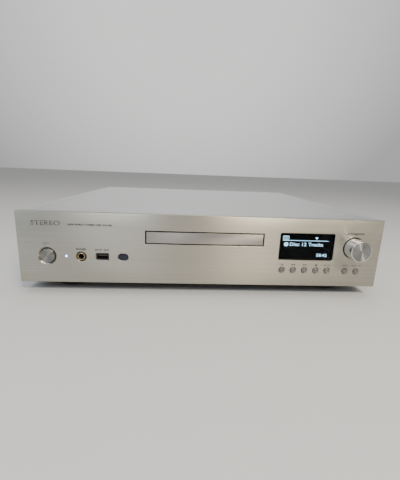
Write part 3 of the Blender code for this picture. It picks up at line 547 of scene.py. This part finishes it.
def lettering(name, words, x, z, height, material, y, from_behind=False, depth=PRINT_DEPTH, bold=0.06,
              width=None):
    """Plain lettering centred on x, z that stands `depth` proud of the face at y; width stretches it."""
    curve = bpy.data.curves.new(name, "FONT")
    curve.body = words
    curve.align_x = "CENTER"
    curve.align_y = "CENTER"
    curve.size = height * MM / CAPITAL_SHARE
    curve.extrude = depth * MM / 2
    curve.offset = bold * height * MM
    curve.resolution_u = 3
    typed = show(bpy.data.objects.new(name, curve))
    bpy.context.view_layer.update()
    mesh = bpy.data.meshes.new_from_object(typed.evaluated_get(bpy.context.evaluated_depsgraph_get()))
    bpy.data.objects.remove(typed, do_unlink=True)
    if width:
        across = [vertex.co.x for vertex in mesh.vertices]
        mesh.transform(Matrix.Scale(width * MM / (max(across) - min(across)), 4, (1.0, 0.0, 0.0)))
    upright = Matrix.Rotation(math.radians(90), 4, "X")
    if from_behind:
        upright = Matrix.Rotation(math.radians(180), 4, "Z") @ upright
    side = 1 if from_behind else -1
    mesh.transform(upright)
    mesh.transform(Matrix.Translation(Vector((x, y + side * depth / 2, z)) * MM))
    return finish_piece(show(bpy.data.objects.new(name, mesh)), material, "cabinet")


def sign(name, outlines, x, z, material, y):
    """Flat sign from closed outlines in millimetres about x, z."""
    shapes = [prism("Y", [(x + u, z + v) for u, v in outline], y - PRINT_DEPTH, y) for outline in outlines]
    return piece(name, joined(shapes), material)


def triangle(x, size, direction):
    half = size / 2
    return [(x - direction * half, half), (x - direction * half, -half), (x + direction * half, 0.0)]


def bar(x0, x1, z0, z1):
    return [(x0, z0), (x1, z0), (x1, z1), (x0, z1)]


def arc_band(radius, width, start_deg, end_deg, steps=20):
    angles = [math.radians(start_deg + (end_deg - start_deg) * k / steps) for k in range(steps + 1)]
    outer = [(radius * math.cos(angle), radius * math.sin(angle)) for angle in angles]
    scale = (radius - width) / radius
    return outer + [(u * scale, v * scale) for u, v in reversed(outer)]


# ---------------------------------------------------------------- front

panel_low, panel_high = span("front_panel")
FACE = panel_low.y
BACK = panel_high.y
BASE = panel_low.z
TOP = panel_high.z
TRANSPORT = ("eject", "prev", "next", "stop", "play")
SMALL = ("input", "menu")


def chamfered_hole(node, radius, ends, count=72):
    """Cutter for a round hole on the node's axis, wider at the face."""
    wide = radius + HOLE_CHAMFER
    return turned("Y", face_centre(node), [(wide, ends[0]), (wide, FACE), (radius, FACE + HOLE_CHAMFER),
                                           (radius, ends[1])], count)


def chamfered_slot(node, size, radius, ends, chamfer):
    """Cutter for a rounded slot on the node's axis, wider at the face."""
    u, v = face_centre(node)
    outlines = []
    for grow, along in ((chamfer, ends[0]), (chamfer, FACE), (0.0, FACE + chamfer), (0.0, ends[1])):
        outlines.append((rounded(u, v, size[0] + 2 * grow, size[1] + 2 * grow, radius + grow, 6), along))
    return layers(outlines)


def front_plate():
    """The panel, with chamfered edges and an opening for every part that shows in it."""
    edge = PANEL_CHAMFER
    ease = edge * EASE_SHARE
    section = [(FACE + edge, BASE), (BACK, BASE), (BACK, TOP), (FACE + edge, TOP), (FACE + ease, TOP - ease),
               (FACE, TOP - edge), (FACE, BASE + edge), (FACE + ease, BASE + ease)]
    plate = prism("X", section, panel_low.x, panel_high.x)
    ends = (FACE - CUTTER_REACH, BACK + CUTTER_REACH)
    rim = POWER_RING_RADIUS + 0.15
    ring = [(rim, ends[0]), (rim, FACE), (POWER_RING_RADIUS, FACE + 0.12),
            (POWER_HOLE, FACE + POWER_RING_DEPTH), (POWER_HOLE, ends[1])]
    holes = [
        chamfered_slot("tray_front", face_size("tray_front", TRAY_GAP), TRAY_CORNER, ends, TRAY_CHAMFER),
        chamfered_slot("display_window", face_size("display_window", WINDOW_GAP), WINDOW_CORNER, ends,
                       WINDOW_CHAMFER),
        turned("Y", face_centre("power_button"), ring, 120),
        chamfered_hole("power_led", LED_HOLE, ends, 32),
        chamfered_hole("phones_jack", PHONES_HOLE, ends),
        chamfered_slot("usb_port", USB_MOUTH[:2], USB_MOUTH[2], ends, USB_CHAMFER),
        chamfered_slot("ir_window", INFRA_MOUTH[:2], INFRA_MOUTH[2], ends, INFRA_CHAMFER),
        chamfered_hole("select_knob", face_size("select_knob")[0] / 2 + KNOB_GAP, ends, 120),
    ]
    holes += [chamfered_hole(f"button_{label}", BUTTON_RADIUS + BUTTON_GAP, ends, 64)
              for label in TRANSPORT + SMALL]
    made = piece("front_plate", plate, FRONT, replaces=["front_panel"],
                 cuts=[joined(holes)])
    # The walls of every opening get the near-black painted shade
    paint_shade_on_walls(made, PAINTED_SHADE_WALL, panel_low, panel_high)


def push_button(name, node, radius, dish, rim, flange, stem, count):
    """Turned button: dished face, rounded rim, a flange behind the panel and a stem."""
    low, high = span(node)
    at = face_centre(node)
    near = BACK + FLANGE_GAP
    far = near + FLANGE_THICK
    profile = [(out, low.y + depth) for out, depth in dish]
    profile += [(radius - inset, low.y + depth) for inset, depth in rim]
    profile += [(radius, near), (flange, near), (flange, far), (stem, far), (stem, high.y)]
    # The caps use the darker, shaded copy of the spun aluminium
    piece(name, turned("Y", at, profile, count), SPUN_SMALL_SHADED, body=node, replaces=[node],
          origin=(at[0], low.y, at[1]))


def knob():
    """Spun face in a turned body whose back is bored out for the shaft."""
    low, high = span("select_knob")
    at = face_centre("select_knob")
    face = low.y
    radius = (high.x - low.x) / 2
    inner = radius - 0.8
    bore = 3.3
    origin = (at[0], face, at[1])
    disc = [(TIP, face), (6.0, face), (inner, face), (inner, face + 2.0)]
    shell = [(inner, face + 2.6), (inner, face), (radius - 0.62, face), (radius - 0.30, face + 0.12),
             (radius - 0.08, face + 0.36), (radius, face + 0.75), (radius, high.y), (bore, high.y),
             (bore, face + 6.5)]
    piece("knob_face", turned("Y", at, disc, 120), SPUN, body="encoder", origin=origin)
    piece("knob_body", turned("Y", at, shell, 120, closed=True), TURNED, body="encoder",
          replaces=["select_knob"], origin=origin)


def phones_socket():
    """6.3 mm socket: gold rim, black collar and liner, and behind them a bored case with two springs."""
    low, high = span("phones_jack")
    x, z = face_centre("phones_jack")
    front = low.y
    end = front + 9.0
    origin = (x, front, z)
    bush = [(3.3, end), (3.3, front + 0.5), (3.45, front + 0.2), (3.6, front), (3.85, front),
            (4.0, front + 0.1), (4.05, front + 0.4), (4.05, end)]
    collar = [(4.1, front + 0.9), (5.0, front + 0.9), (5.3, front + 1.1), (5.5, front + 2.1), (5.5, end),
              (4.1, end)]
    liner = [(3.05, front + 0.7), (3.25, front + 0.5), (3.25, end), (3.05, end)]
    piece("phones_bush", turned("Y", (x, z), bush, 96, closed=True), GOLD, replaces=["phones_jack"],
          origin=origin)
    for label, profile, count in (("collar", collar, 96), ("liner", liner, 64)):
        piece(f"phones_{label}", turned("Y", (x, z), profile, count, closed=True), BLACK,
              origin=origin)
    case = box_about(x, 8.0, (end + 0.2, high.y), (z - 8.0, z + 8.0), 0.4)
    bore = turned("Y", (x, z), [(3.4, end - 1.0), (3.4, high.y - 4.0)], 48)
    piece("phones_case", case, BLACK, cuts=[bore])
    for number, side in enumerate((-1, 1)):
        strip = box_about(x + side * 3.1, 0.15, (end + 1.0, end + 9.0), (z - 1.0, z + 1.0), 0.1)
        piece(f"phones_contact_{number}", strip, NICKEL)


def usb_socket():
    """Folded shell, tongue with four contacts under it, and a closed back."""
    low, high = span("usb_port")
    x, z = face_centre("usb_port")
    front = low.y
    outlines = [(rounded(x, z, width, height, 0.5, 4), along) for width, height, along in
                ((12.2, 6.2, high.y - 3.0), (12.2, 6.2, front + 0.3), (12.6, 6.6, front),
                 (13.2, 7.2, front + 0.1), (13.2, 7.2, high.y))]
    # The shell takes the near-black painted shade of the hole walls instead of bright plated steel
    piece("usb_shell", layers(outlines, closed=True), PAINTED_SHADE_WALL, replaces=["usb_port"])
    tongue = box_about(x, 5.4, (front + 1.2, high.y - 2.0), (z + 0.3, z + 2.1), 0.2)
    piece("usb_tongue", tongue, BLACK)
    back = box_about(x, 6.0, (high.y - 2.4, high.y - 0.2), (z - 3.0, z + 3.0), 0.1)
    piece("usb_back", back, BLACK)
    pitch = 2.4
    for number in range(4):
        contact = box_about(x + pitch * (number - 1.5), 0.5, (front + 1.6, front + 9.0),
                            (z + 0.18, z + 0.34), 0.05)
        piece(f"usb_contact_{number}", contact, GOLD)


def small_lights():
    """The infrared window and the power light's pipe."""
    low, high = span("ir_window")
    piece("ir_filter", slab(face_centre("ir_window"), (11.4, 7.8), 3.85, low.y, high.y, 0.35), IR,
          replaces=["ir_window"])
    low, high = span("power_led")
    at = face_centre("power_led")
    front = low.y
    shoulder = BACK + FLANGE_GAP
    profile = [(0.1, front), (0.45, front + 0.06), (0.8, front + 0.22), (1.0, front + 0.5), (1.0, shoulder),
               (2.0, shoulder), (2.0, high.y)]
    piece("led_pipe", turned("Y", at, profile, 32), LED, replaces=["power_led"],
          origin=(at[0], front, at[1]))


def display():
    """Clear window over a dark screen with lit signs; their places count from the window's top left."""
    low, high = span("display_window")
    piece("display_acrylic", slab(face_centre("display_window"), face_size("display_window"), 1.9, low.y,
                                  high.y, 0.3),
          WINDOW, replaces=["display_window"])
    glass_low, glass_high = span("display_module")
    piece("display_glass", soft_box(glass_low, glass_high), SCREEN, replaces=["display_module"])
    y = glass_low.y - 0.02
    front = y - LIT_DEPTH
    left, top = low.x, high.z
    source_x, source_z = left + 7.2, top - 5.6
    outer = rounded(source_x, source_z, 7.4, 4.6, 0.8, 4)
    inner = rounded(source_x, source_z, 6.6, 3.8, 0.5, 4)
    ring = layers([(outer, y), (outer, front), (inner, front), (inner, y)], closed=True)
    piece("lit_source_box", ring, LIT)
    lettering("lit_source", "CD", source_x, source_z, 2.6, LIT, y, bold=0.0)
    sign("lit_arrow", [[(-2.0, 1.3), (0.0, -1.4), (2.0, 1.3)]], left + 45.0, top - 5.8, LIT, y)
    sign("lit_rule", [bar(-28.3, 28.3, -0.25, 0.25)], left + 31.6, top - 8.9, LIT, y)
    line_z = top - 13.8
    disc = turned("Y", (left + 8.0, line_z), [(0.7, y), (0.7, front), (2.5, front), (2.5, y)], 40,
                  closed=True)
    piece("lit_disc", disc, LIT)
    lettering("lit_tracks", "Disc 12 Tracks", left + 33.0, line_z, 4.2, LIT, y, bold=0.0, width=41.0)
    lettering("lit_time", "58:42", left + 53.4, top - 27.0, 3.7, LIT, y, bold=0.0, width=13.0)


def word_over(name, words, node, rise, height, width=None, bold=0.06):
    x, z = face_centre(node)
    lettering(name, words, x, z + rise, height, PRINT, FACE, bold=bold, width=width)


def front_print():
    """Plain signs and words over the controls, and generic words at the top left."""
    lettering("word_left", "STEREO", -182.2, BASE + 71.0, 5.4, LOGO, FACE, depth=LOGO_DEPTH, bold=0.0,
              width=32.0)
    lettering("word_line", "HIGH FIDELITY STEREO DISC PLAYER", -132.8, BASE + 70.0, 1.9, PRINT, FACE,
              width=50.0)
    x, z = face_centre("power_button")
    sign("sign_power", [arc_band(1.35, 0.32, 125, 415), bar(-0.16, 0.16, 0.0, 1.7)], x - 2.2, z + 14.8,
         PRINT, FACE)
    sign("sign_power_on", [[(-0.9, -1.4), (-0.6, -1.4), (0.5, 1.4), (0.2, 1.4)], bar(1.6, 1.95, -1.3, 1.3)],
         x + 0.6, z + 14.8, PRINT, FACE)
    word_over("word_phones", "PHONES", "phones_jack", 8.6, 2.0, width=11.0)
    word_over("word_supply", "DC 5V  OUT", "usb_port", 8.3, 2.0, width=16.0)
    word_over("word_select", "INPUT SELECTOR", "select_knob", 17.7, 2.0, width=21.0)
    for label, words in zip(SMALL, ("INPUT", "MENU / SET")):
        word_over(f"word_{label}", words, f"button_{label}", 7.4, 1.7, bold=0.0)
    size = SIGN_HEIGHT
    half = size / 2
    signs = {
        "eject": [[(-1.1, -0.2), (1.1, -0.2), (0.0, 1.1)], bar(-1.1, 1.1, -1.0, -0.6)],
        "prev": [bar(-2.3, -2.0, -half, half), triangle(-1.0, size, -1), triangle(0.8, size, -1)],
        "next": [triangle(-0.8, size, 1), triangle(1.0, size, 1), bar(2.0, 2.3, -half, half)],
        "stop": [bar(-half, half, -half, half)],
        "play": [triangle(-1.9, size, 1), [(-0.6, -1.1), (-0.35, -1.1), (0.35, 1.1), (0.1, 1.1)],
                 bar(1.1, 1.5, -half, half), bar(2.0, 2.4, -half, half)],
    }
    for label, outlines in signs.items():
        x, z = face_centre(f"button_{label}")
        larger = [[(u * SIGN_SCALE, v * SIGN_SCALE) for u, v in outline] for outline in outlines]
        sign(f"sign_{label}", larger, x, z + 6.7, PRINT, FACE)


# ---------------------------------------------------------------- cabinet

def top():
    """The lid with its countersunk socket screws."""
    low, high = span("top_plate")
    sunk = high.z - 2.1
    sinks = []
    for label in CORNERS:
        node = f"top_screw_{label}"
        at = (middle(node).x, middle(node).y)
        screw_low, screw_high = span(node)
        sink = [(2.2, low.z - 1.0), (2.2, sunk), (4.0, high.z - 0.25), (4.25, high.z), (4.25, high.z + 1.0)]
        sinks.append(turned("Z", at, sink, 64))
        head = [(1.5, screw_low.z), (1.8, screw_low.z + 0.6), (1.8, sunk), (3.6, screw_high.z - 0.3),
                (3.75, screw_high.z - 0.15), (3.65, screw_high.z)]
        socket = prism("Z", circle(*at, 1.45, 6), high.z - 2.0, high.z + 1.0)
        piece(f"{node}_head", turned("Z", at, head, 64), SCREW, replaces=[node],
              cuts=[socket])
    piece("lid", soft_box(low, high, 0.5), SATIN, replaces=["top_plate"],
          cuts=[joined(sinks)])


def feet():
    """Grooved feet with a rubber ring underneath and a stud in the floor of the cabinet."""
    pad_top = 1.25
    for label in CORNERS:
        node = f"foot_{label}"
        low, high = span(node)
        at = (middle(node).x, middle(node).y)
        radius = (high.x - low.x) / 2
        shoulder = BASE - 0.3
        body = [(radius - 4.0, 1.2), (radius - 1.0, 1.2), (radius - 0.2, 1.6), (radius, 2.4), (radius, 6.6),
                (radius - 0.5, 6.9), (radius - 0.5, 7.5), (radius, 7.8), (radius, shoulder - 1.0),
                (radius - 0.4, shoulder - 0.2), (radius - 1.2, shoulder), (4.9, shoulder), (4.9, 17.0),
                (4.2, 18.0)]
        pad = [(radius - 13.0, 0.0), (radius - 4.6, 0.0), (radius - 4.2, 0.4), (radius - 4.2, pad_top),
               (radius - 13.0, pad_top)]
        origin = (at[0], at[1], 0.0)
        piece(f"{node}_body", turned("Z", at, body, 96), BLACK, replaces=[node],
              origin=origin)
        piece(f"{node}_pad", turned("Z", at, pad, 96, closed=True), RUBBER, origin=origin)


# ---------------------------------------------------------------- rear

def rear_sheet():
    """The back, cut for its sockets, with cross-slotted screws near the corners and beside the inlet."""
    low, high = span("rear_panel")
    ends = (low.y - 1.0, high.y + 1.0)
    holes = [turned("Y", face_centre(node), [(radius, end) for end in ends], count)
             for node, radius, count in ROUND_HOLES]
    holes += [prism("Y", rounded(*face_centre(node), width, height, 0.4, 3), *ends)
              for node, width, height in BOX_HOLES]
    piece("rear_sheet", soft_box(low, high, 0.2), BLACK_STEEL, replaces=["rear_panel"],
          cuts=[joined(holes)])
    back = high.y
    places = [(x, z) for x in (low.x + 12.0, high.x - 12.0) for z in (low.z + 12.0, high.z - 10.0)]
    inlet_x, inlet_z = face_centre("ac_inlet")
    places += [(inlet_x + side * 22.5, inlet_z) for side in (-1, 1)]
    for number, (x, z) in enumerate(places):
        head = [(3.0, back + 0.02), (3.0, back + 0.9), (2.6, back + 1.35), (1.4, back + 1.6)]
        cross = [prism("Y", rounded(x, z, width, height, 0.1, 2), back + 0.8, back + 3.0)
                 for width, height in ((3.2, 0.7), (0.7, 3.2))]
        piece(f"rear_screw_{number}", turned("Y", (x, z), head, 48), SCREW, cuts=cross,
              origin=(x, back, z))


def flange(node, size, corner, thick, edge):
    """Plate behind a rear socket's mouth, softened at its outer edge, and the Y where it starts."""
    x, z = face_centre(node)
    end = span(node)[1].y
    start = end - thick
    outlines = [(rounded(x, z, size[0] - 2 * inset, size[1] - 2 * inset, corner), along)
                for inset, along in ((0.0, start), (0.0, end - edge[1]), (edge[0], end))]
    return layers(outlines), start


def xlr(node):
    """Balanced socket: flange and barrel with a round well, two fixing holes and three pins."""
    low, high = span(node)
    x, z = face_centre(node)
    end = high.y
    beyond = end + 2.0
    plate, start = flange(node, (26.0, 31.0), 2.0, 1.8, (0.35, 0.4))
    barrel = turned("Y", (x, z), [(11.8, low.y), (11.8, start + 0.4)], 72)
    well = turned("Y", (x, z), [(9.4, XLR_FLOOR), (9.4, end - 0.5), (9.9, end), (9.9, beyond)], 72)
    holes = [turned("Y", (x + side * -9.8, z + side * 12.4), [(1.6, start - 0.05), (1.6, beyond)], 32)
             for side in (1, -1)]
    piece(f"{node}_shell", plate, BLACK, replaces=[node], welds=[barrel],
          cuts=[joined([well] + holes)])
    pin = [(1.2, XLR_FLOOR), (1.2, end - 4.2), (0.95, end - 3.4), (0.5, end - 3.0)]
    for number, (u, v) in enumerate(((-4.0, 2.0), (4.0, 2.0), (0.0, -4.2))):
        piece(f"{node}_pin_{number}", turned("Y", (x + u, z + v), pin, 24), NICKEL)


def phono(node, metal, ring_material):
    """Turned socket with a hexagonal collar on the sheet and an insulating ring in its mouth."""
    low, high = span(node)
    x, z = face_centre(node)
    end = high.y
    base = span("rear_panel")[1].y + 0.3
    collar = layers([(circle(x, z, radius, 6), along) for radius, along in
                     ((7.2, base), (7.2, base + 1.8), (6.8, base + 2.2))])
    stem = turned("Y", (x, z), [(5.6, low.y), (5.6, base + 0.4), (5.0, base + 2.4), (4.15, base + 2.5),
                                (4.15, end - 0.3), (3.95, end)], 64)
    mouth = turned("Y", (x, z), [(3.35, base + 2.0), (3.35, end - 0.3), (3.6, end + 0.1), (3.6, end + 2.0)],
                   64)
    piece(f"{node}_barrel", stem, metal, replaces=[node], welds=[collar], cuts=[mouth],
          origin=(x, low.y, z))
    core = [(1.75, base + 2.6), (1.75, end - 0.6), (1.9, end - 0.35), (3.1, end - 0.35), (3.25, end - 0.6),
            (3.25, base + 2.6)]
    piece(f"{node}_core", turned("Y", (x, z), core, 48, closed=True), ring_material)


def optical_socket():
    low, high = span("optical_out")
    x, z = face_centre("optical_out")
    end = high.y
    mouth = prism("Y", rounded(x, z, 7.6, 7.6, 1.2, 4), end - 8.0, end + 2.0)
    piece("optical_case", soft_box(low, high), BLACK, replaces=["optical_out"],
          cuts=[mouth])
    shutter = box_about(x, 3.6, (end - 1.6, end - 0.9), (z - 3.6, z + 3.6), 0.15)
    piece("optical_shutter", shutter, GREY)


def lan_socket():
    """Metal shell with the plug's opening, the clip's notch under it and eight contacts."""
    low, high = span("lan_port")
    x, z = face_centre("lan_port")
    beyond = high.y + 2.0
    cuts = [prism("Y", rounded(x, z - 0.5, 11.8, 7.4, 0.3, 3), LAN_FLOOR, beyond),
            prism("Y", rounded(x, z - 4.6, 4.0, 2.6, 0.3, 3), LAN_CLIP_FLOOR, beyond)]
    piece("lan_shell", soft_box(low, high, 0.25), NICKEL, replaces=["lan_port"], cuts=cuts)
    pitch = 1.02
    for number in range(8):
        wire = box_about(x + pitch * (number - 3.5), 0.18, (LAN_FLOOR + 1.0, LAN_FLOOR + 11.0),
                         (z + 1.5, z + 1.8), 0.06)
        piece(f"lan_contact_{number}", wire, GOLD)


def mains_inlet():
    """Flanged inlet with two flat pins in a well whose upper corners are cut off."""
    low, high = span("ac_inlet")
    x, z = face_centre("ac_inlet")
    plate, start = flange("ac_inlet", (34.0, 26.0), 3.0, 2.6, (0.6, 0.6))
    case = box_about(x, 13.4, (low.y, start + 0.6), (z - 9.9, z + 9.9), 0.3)
    outline = [(-11.9, -7.0), (11.9, -7.0), (11.9, 3.6), (8.2, 7.6), (-8.2, 7.6), (-11.9, 3.6)]
    well = prism("Y", [(x + u, z + v) for u, v in outline], INLET_FLOOR, high.y + 2.0)
    piece("inlet_case", plate, BLACK, replaces=["ac_inlet"], welds=[case],
          cuts=[well])
    for number, side in enumerate((-1, 1)):
        blade = box_about(x + side * 5.0, 1.0, (INLET_FLOOR + 0.2, INLET_FLOOR + 15.0), (z - 2.8, z + 2.2),
                          0.3)
        piece(f"inlet_pin_{number}", blade, NICKEL)


def rear_print():
    """Words beside the sockets: node, text, shift to the right as seen from behind, rise."""
    y = span("rear_panel")[1].y
    words = (("xlr_left", "L", -13.2, 16.0), ("xlr_right", "R", 13.2, 16.0), ("rca_left", "L", -10.0, 0.0),
             ("rca_right", "R", 10.0, 0.0), ("coaxial_out", "DIGITAL OUT", 0.0, -11.0),
             ("optical_out", "OPTICAL OUT", 0.0, -11.0), ("lan_port", "LAN", 0.0, -11.0),
             ("ac_inlet", "AC IN", 0.0, 17.0))
    for node, text, shift, rise in words:
        x, z = face_centre(node)
        lettering(f"rear_word_{node}", text, x - shift, z + rise, 2.0, REAR_PRINT, y, from_behind=True)


# ---------------------------------------------------------------- disc loader

def tray():
    """Tray with two disc recesses and a slot for the pickup, its rack, and its aluminium front."""
    low, high = span("disc_tray")
    centre_y = middle("turntable").y
    floor = high.z - 6.0
    step = floor + 2.0
    large = [(60.2, step), (60.9, high.z - 0.4), (61.4, high.z), (61.4, high.z + 2.0)]
    small = [(40.3, floor + 1.2), (40.9, step), (40.9, floor + 2.6)]
    half = 17.5
    arc = [(half * math.cos(math.radians(a)), centre_y + half * math.sin(math.radians(a)))
           for a in range(-180, 1, 6)]
    slot = prism("Z", arc + [(half, high.y + 1.0), (-half, high.y + 1.0)], low.z, high.z + 2.0)
    piece("tray_body", soft_box((low.x, low.y, floor), high, 0.4), BLACK, body="tray",
          replaces=["disc_tray"],
          cuts=[turned("Z", (0.0, centre_y), large, 160), turned("Z", (0.0, centre_y), small, 128), slot])
    piece("tray_rack", prism("Z", rack_outline(), low.z, floor - 0.02), BLACK, body="tray")
    front_low, front_high = span("tray_front")
    middle_z = (front_low.z + front_high.z) / 2
    piece("tray_face", slab((0.0, middle_z), face_size("tray_front"), 0.35, front_low.y, front_high.y,
                            TRAY_CHAMFER),
          TRAY_FRONT, body="tray", replaces=["tray_front"])


def rack_outline():
    """Rack of module 1.25 beside the drive gear, whose pitch radius is 10 mm, in X and Y."""
    inner = 58.6
    start, end = -166.5, -14.0
    pitch = math.pi * 1.25
    gear = middle("drive_gear")
    line = gear.x + 10.0
    root, crest = line + 1.2, line - 0.9
    outline = [(inner, start), (root, start)]
    for number in range(math.ceil((start - gear.y) / pitch), math.floor((end - gear.y) / pitch)):
        at = gear.y + (number + 0.5) * pitch
        outline += [(root, at - 1.15), (crest, at - 0.4), (crest, at + 0.4), (root, at + 1.15)]
    return outline + [(root, end), (inner, end)]


def turned_on_axis(name, node, profile, material, body, closed=False):
    at = middle(node)
    low = span(node)[0]
    piece(name, turned("Z", (at.x, at.y), profile, 96, closed), material, body=body, replaces=[node],
          origin=(at.x, at.y, low.z))


def turntable():
    """Hub and disc rest: a groove inside the rest, and a cone that centres the disc."""
    low, high = span("turntable")
    under, rest = 68.2, 70.0
    profile = [(1.0, low.z), (1.0, under), (14.0, under), (14.4, under + 0.2), (14.5, under + 0.6),
               (14.5, rest - 0.4), (14.2, rest), (9.5, rest), (9.3, rest - 0.3), (8.0, rest - 0.3),
               (7.8, rest), (7.45, rest + 0.1), (7.2, rest + 1.4), (6.6, rest + 2.4), (5.4, high.z)]
    turned_on_axis("turntable_disc", "turntable", profile, BLACK, "turntable")


def clamper():
    """Puck with a wide lower flange, a neck through its bridge and a cap that hangs on the bridge."""
    low, high = span("clamper_puck")
    ceiling, flange_top, cap = 73.6, 75.0, 80.1
    profile = [(8.4, ceiling), (8.4, low.z + 0.3), (8.7, low.z), (12.6, low.z), (13.0, low.z + 0.4),
               (13.0, flange_top - 0.4), (12.6, flange_top), (6.8, flange_top + 0.6),
               (6.6, flange_top + 0.9), (6.6, cap), (10.7, cap), (11.0, cap + 0.3), (11.0, cap + 1.1),
               (10.2, high.z), (4.0, high.z), (3.6, high.z - 0.4), (0.3, high.z - 0.4), (0.3, ceiling)]
    turned_on_axis("clamper_body", "clamper_puck", profile, WHITE, "clamper", closed=True)


def kept_parts():
    """Nodes that stay as the CAD has them, by finish and edge radius."""
    finishes = (
        (SATIN, 0.4, ["side_left", "side_right"]), (BLACK_STEEL, 0.15, ["bottom_chassis"]),
        (NICKEL, 0.0, ["encoder_shaft", "guide_rod_left", "guide_rod_right", "lead_screw"]),
        (ZINC, 0.0, ["loading_motor", "spindle_motor", "sled_motor"]), (ZINC, 0.1, ["traverse_frame"]),
        (ZINC, 0.15, ["clamper_bridge"]), (GOLD, 0.0, ["motor_pulley"]), (RUBBER, 0.0, ["loading_belt"]),
        # The front board takes the near-black painted shade
        (BOARD, 0.1, ["main_board", "power_board"]), (SHADED_BOARD, 0.0, ["front_board"]),
        (BLACK, 0.12, ["loader_frame"]), (WHITE, 0.0, ["pulley_gear", "drive_gear"]),
        (GREY, 0.2, ["cam_slider"]), (GREY, 0.15, ["pickup_sled"]),
    )
    for material, bevel, nodes in finishes:
        for node in nodes:
            refine(node, material, bevel)


# ---------------------------------------------------------------- stage

def studio_world():
    """Plain surroundings, palest behind and above the object."""
    world = bpy.data.worlds.new("studio")
    world.use_nodes = True
    nodes = world.node_tree.nodes
    links = world.node_tree.links
    backdrop = nodes["Background"]
    nearness = nodes.new("ShaderNodeVectorMath")
    nearness.operation = "DOT_PRODUCT"
    nearness.inputs[1].default_value = WORLD_TOWARDS
    links.new(nodes.new("ShaderNodeTexCoord").outputs["Generated"], nearness.inputs[0])
    ramp = nodes.new("ShaderNodeValToRGB")
    stops = ramp.color_ramp.elements
    while len(stops) < len(WORLD_STOPS):
        stops.new(1.0)
    for stop, (position, colour) in zip(stops, WORLD_STOPS):
        stop.position = position
        stop.color = (*colour, 1.0)
    links.new(nearness.outputs["Value"], ramp.inputs["Fac"])
    links.new(ramp.outputs["Color"], backdrop.inputs["Color"])
    bpy.context.scene.world = world


def build_stage():
    """Pale floor, surroundings and soft lamps."""
    paint = grain("floor_paint", (0.64, 0.635, 0.625), 0.7, cell=cube(40.0), tone=0.01, spread=0.02,
                  bump=0.02, depth=0.05)
    corners = [(u * FLOOR_HALF, v * FLOOR_HALF) for u, v in ((-1, -1), (1, -1), (1, 1), (-1, 1))]
    floor = mesh_object("floor", prism("Z", corners, -FLOOR_THICK, 0.0))
    floor.data.materials.append(paint)
    studio_world()
    for name, place_at, target, size, power, colour in LAMPS:
        lamp = bpy.data.lights.new(name, "AREA")
        lamp.shape = "RECTANGLE"
        lamp.size, lamp.size_y = size
        lamp.energy = power
        lamp.color = colour
        holder = show(bpy.data.objects.new(name, lamp))
        holder.location = place_at
        holder.rotation_euler = (Vector(target) - Vector(place_at)).to_track_quat("-Z", "Y").to_euler()


def build_camera():
    lens = bpy.data.cameras.new("camera")
    lens.lens = CAMERA_LENS
    lens.sensor_width = CAMERA_SENSOR
    lens.shift_y = CAMERA_SHIFT_Y
    lens.clip_start = 0.01
    camera = show(bpy.data.objects.new("camera", lens))
    camera.location = CAMERA_PLACE
    camera.rotation_euler = [math.radians(angle) for angle in CAMERA_TURN_DEG]
    bpy.context.scene.camera = camera


build_camera()
build_stage()
front_plate()
for button in TRANSPORT + SMALL:
    push_button(f"{button}_cap", f"button_{button}", BUTTON_RADIUS, BUTTON_DISH, BUTTON_RIM, BUTTON_FLANGE,
                BUTTON_STEM, 64)
push_button("power_cap", "power_button", POWER_RADIUS, POWER_DISH, POWER_RIM, POWER_FLANGE, POWER_STEM, 120)
knob()
phones_socket()
usb_socket()
small_lights()
display()
front_print()
top()
feet()
rear_sheet()
xlr("xlr_left")
xlr("xlr_right")
phono("rca_left", GOLD, WHITE)
phono("rca_right", GOLD, RED)
phono("coaxial_out", NICKEL, BLACK)
optical_socket()
lan_socket()
mains_inlet()
rear_print()
tray()
turntable()
clamper()
kept_parts()
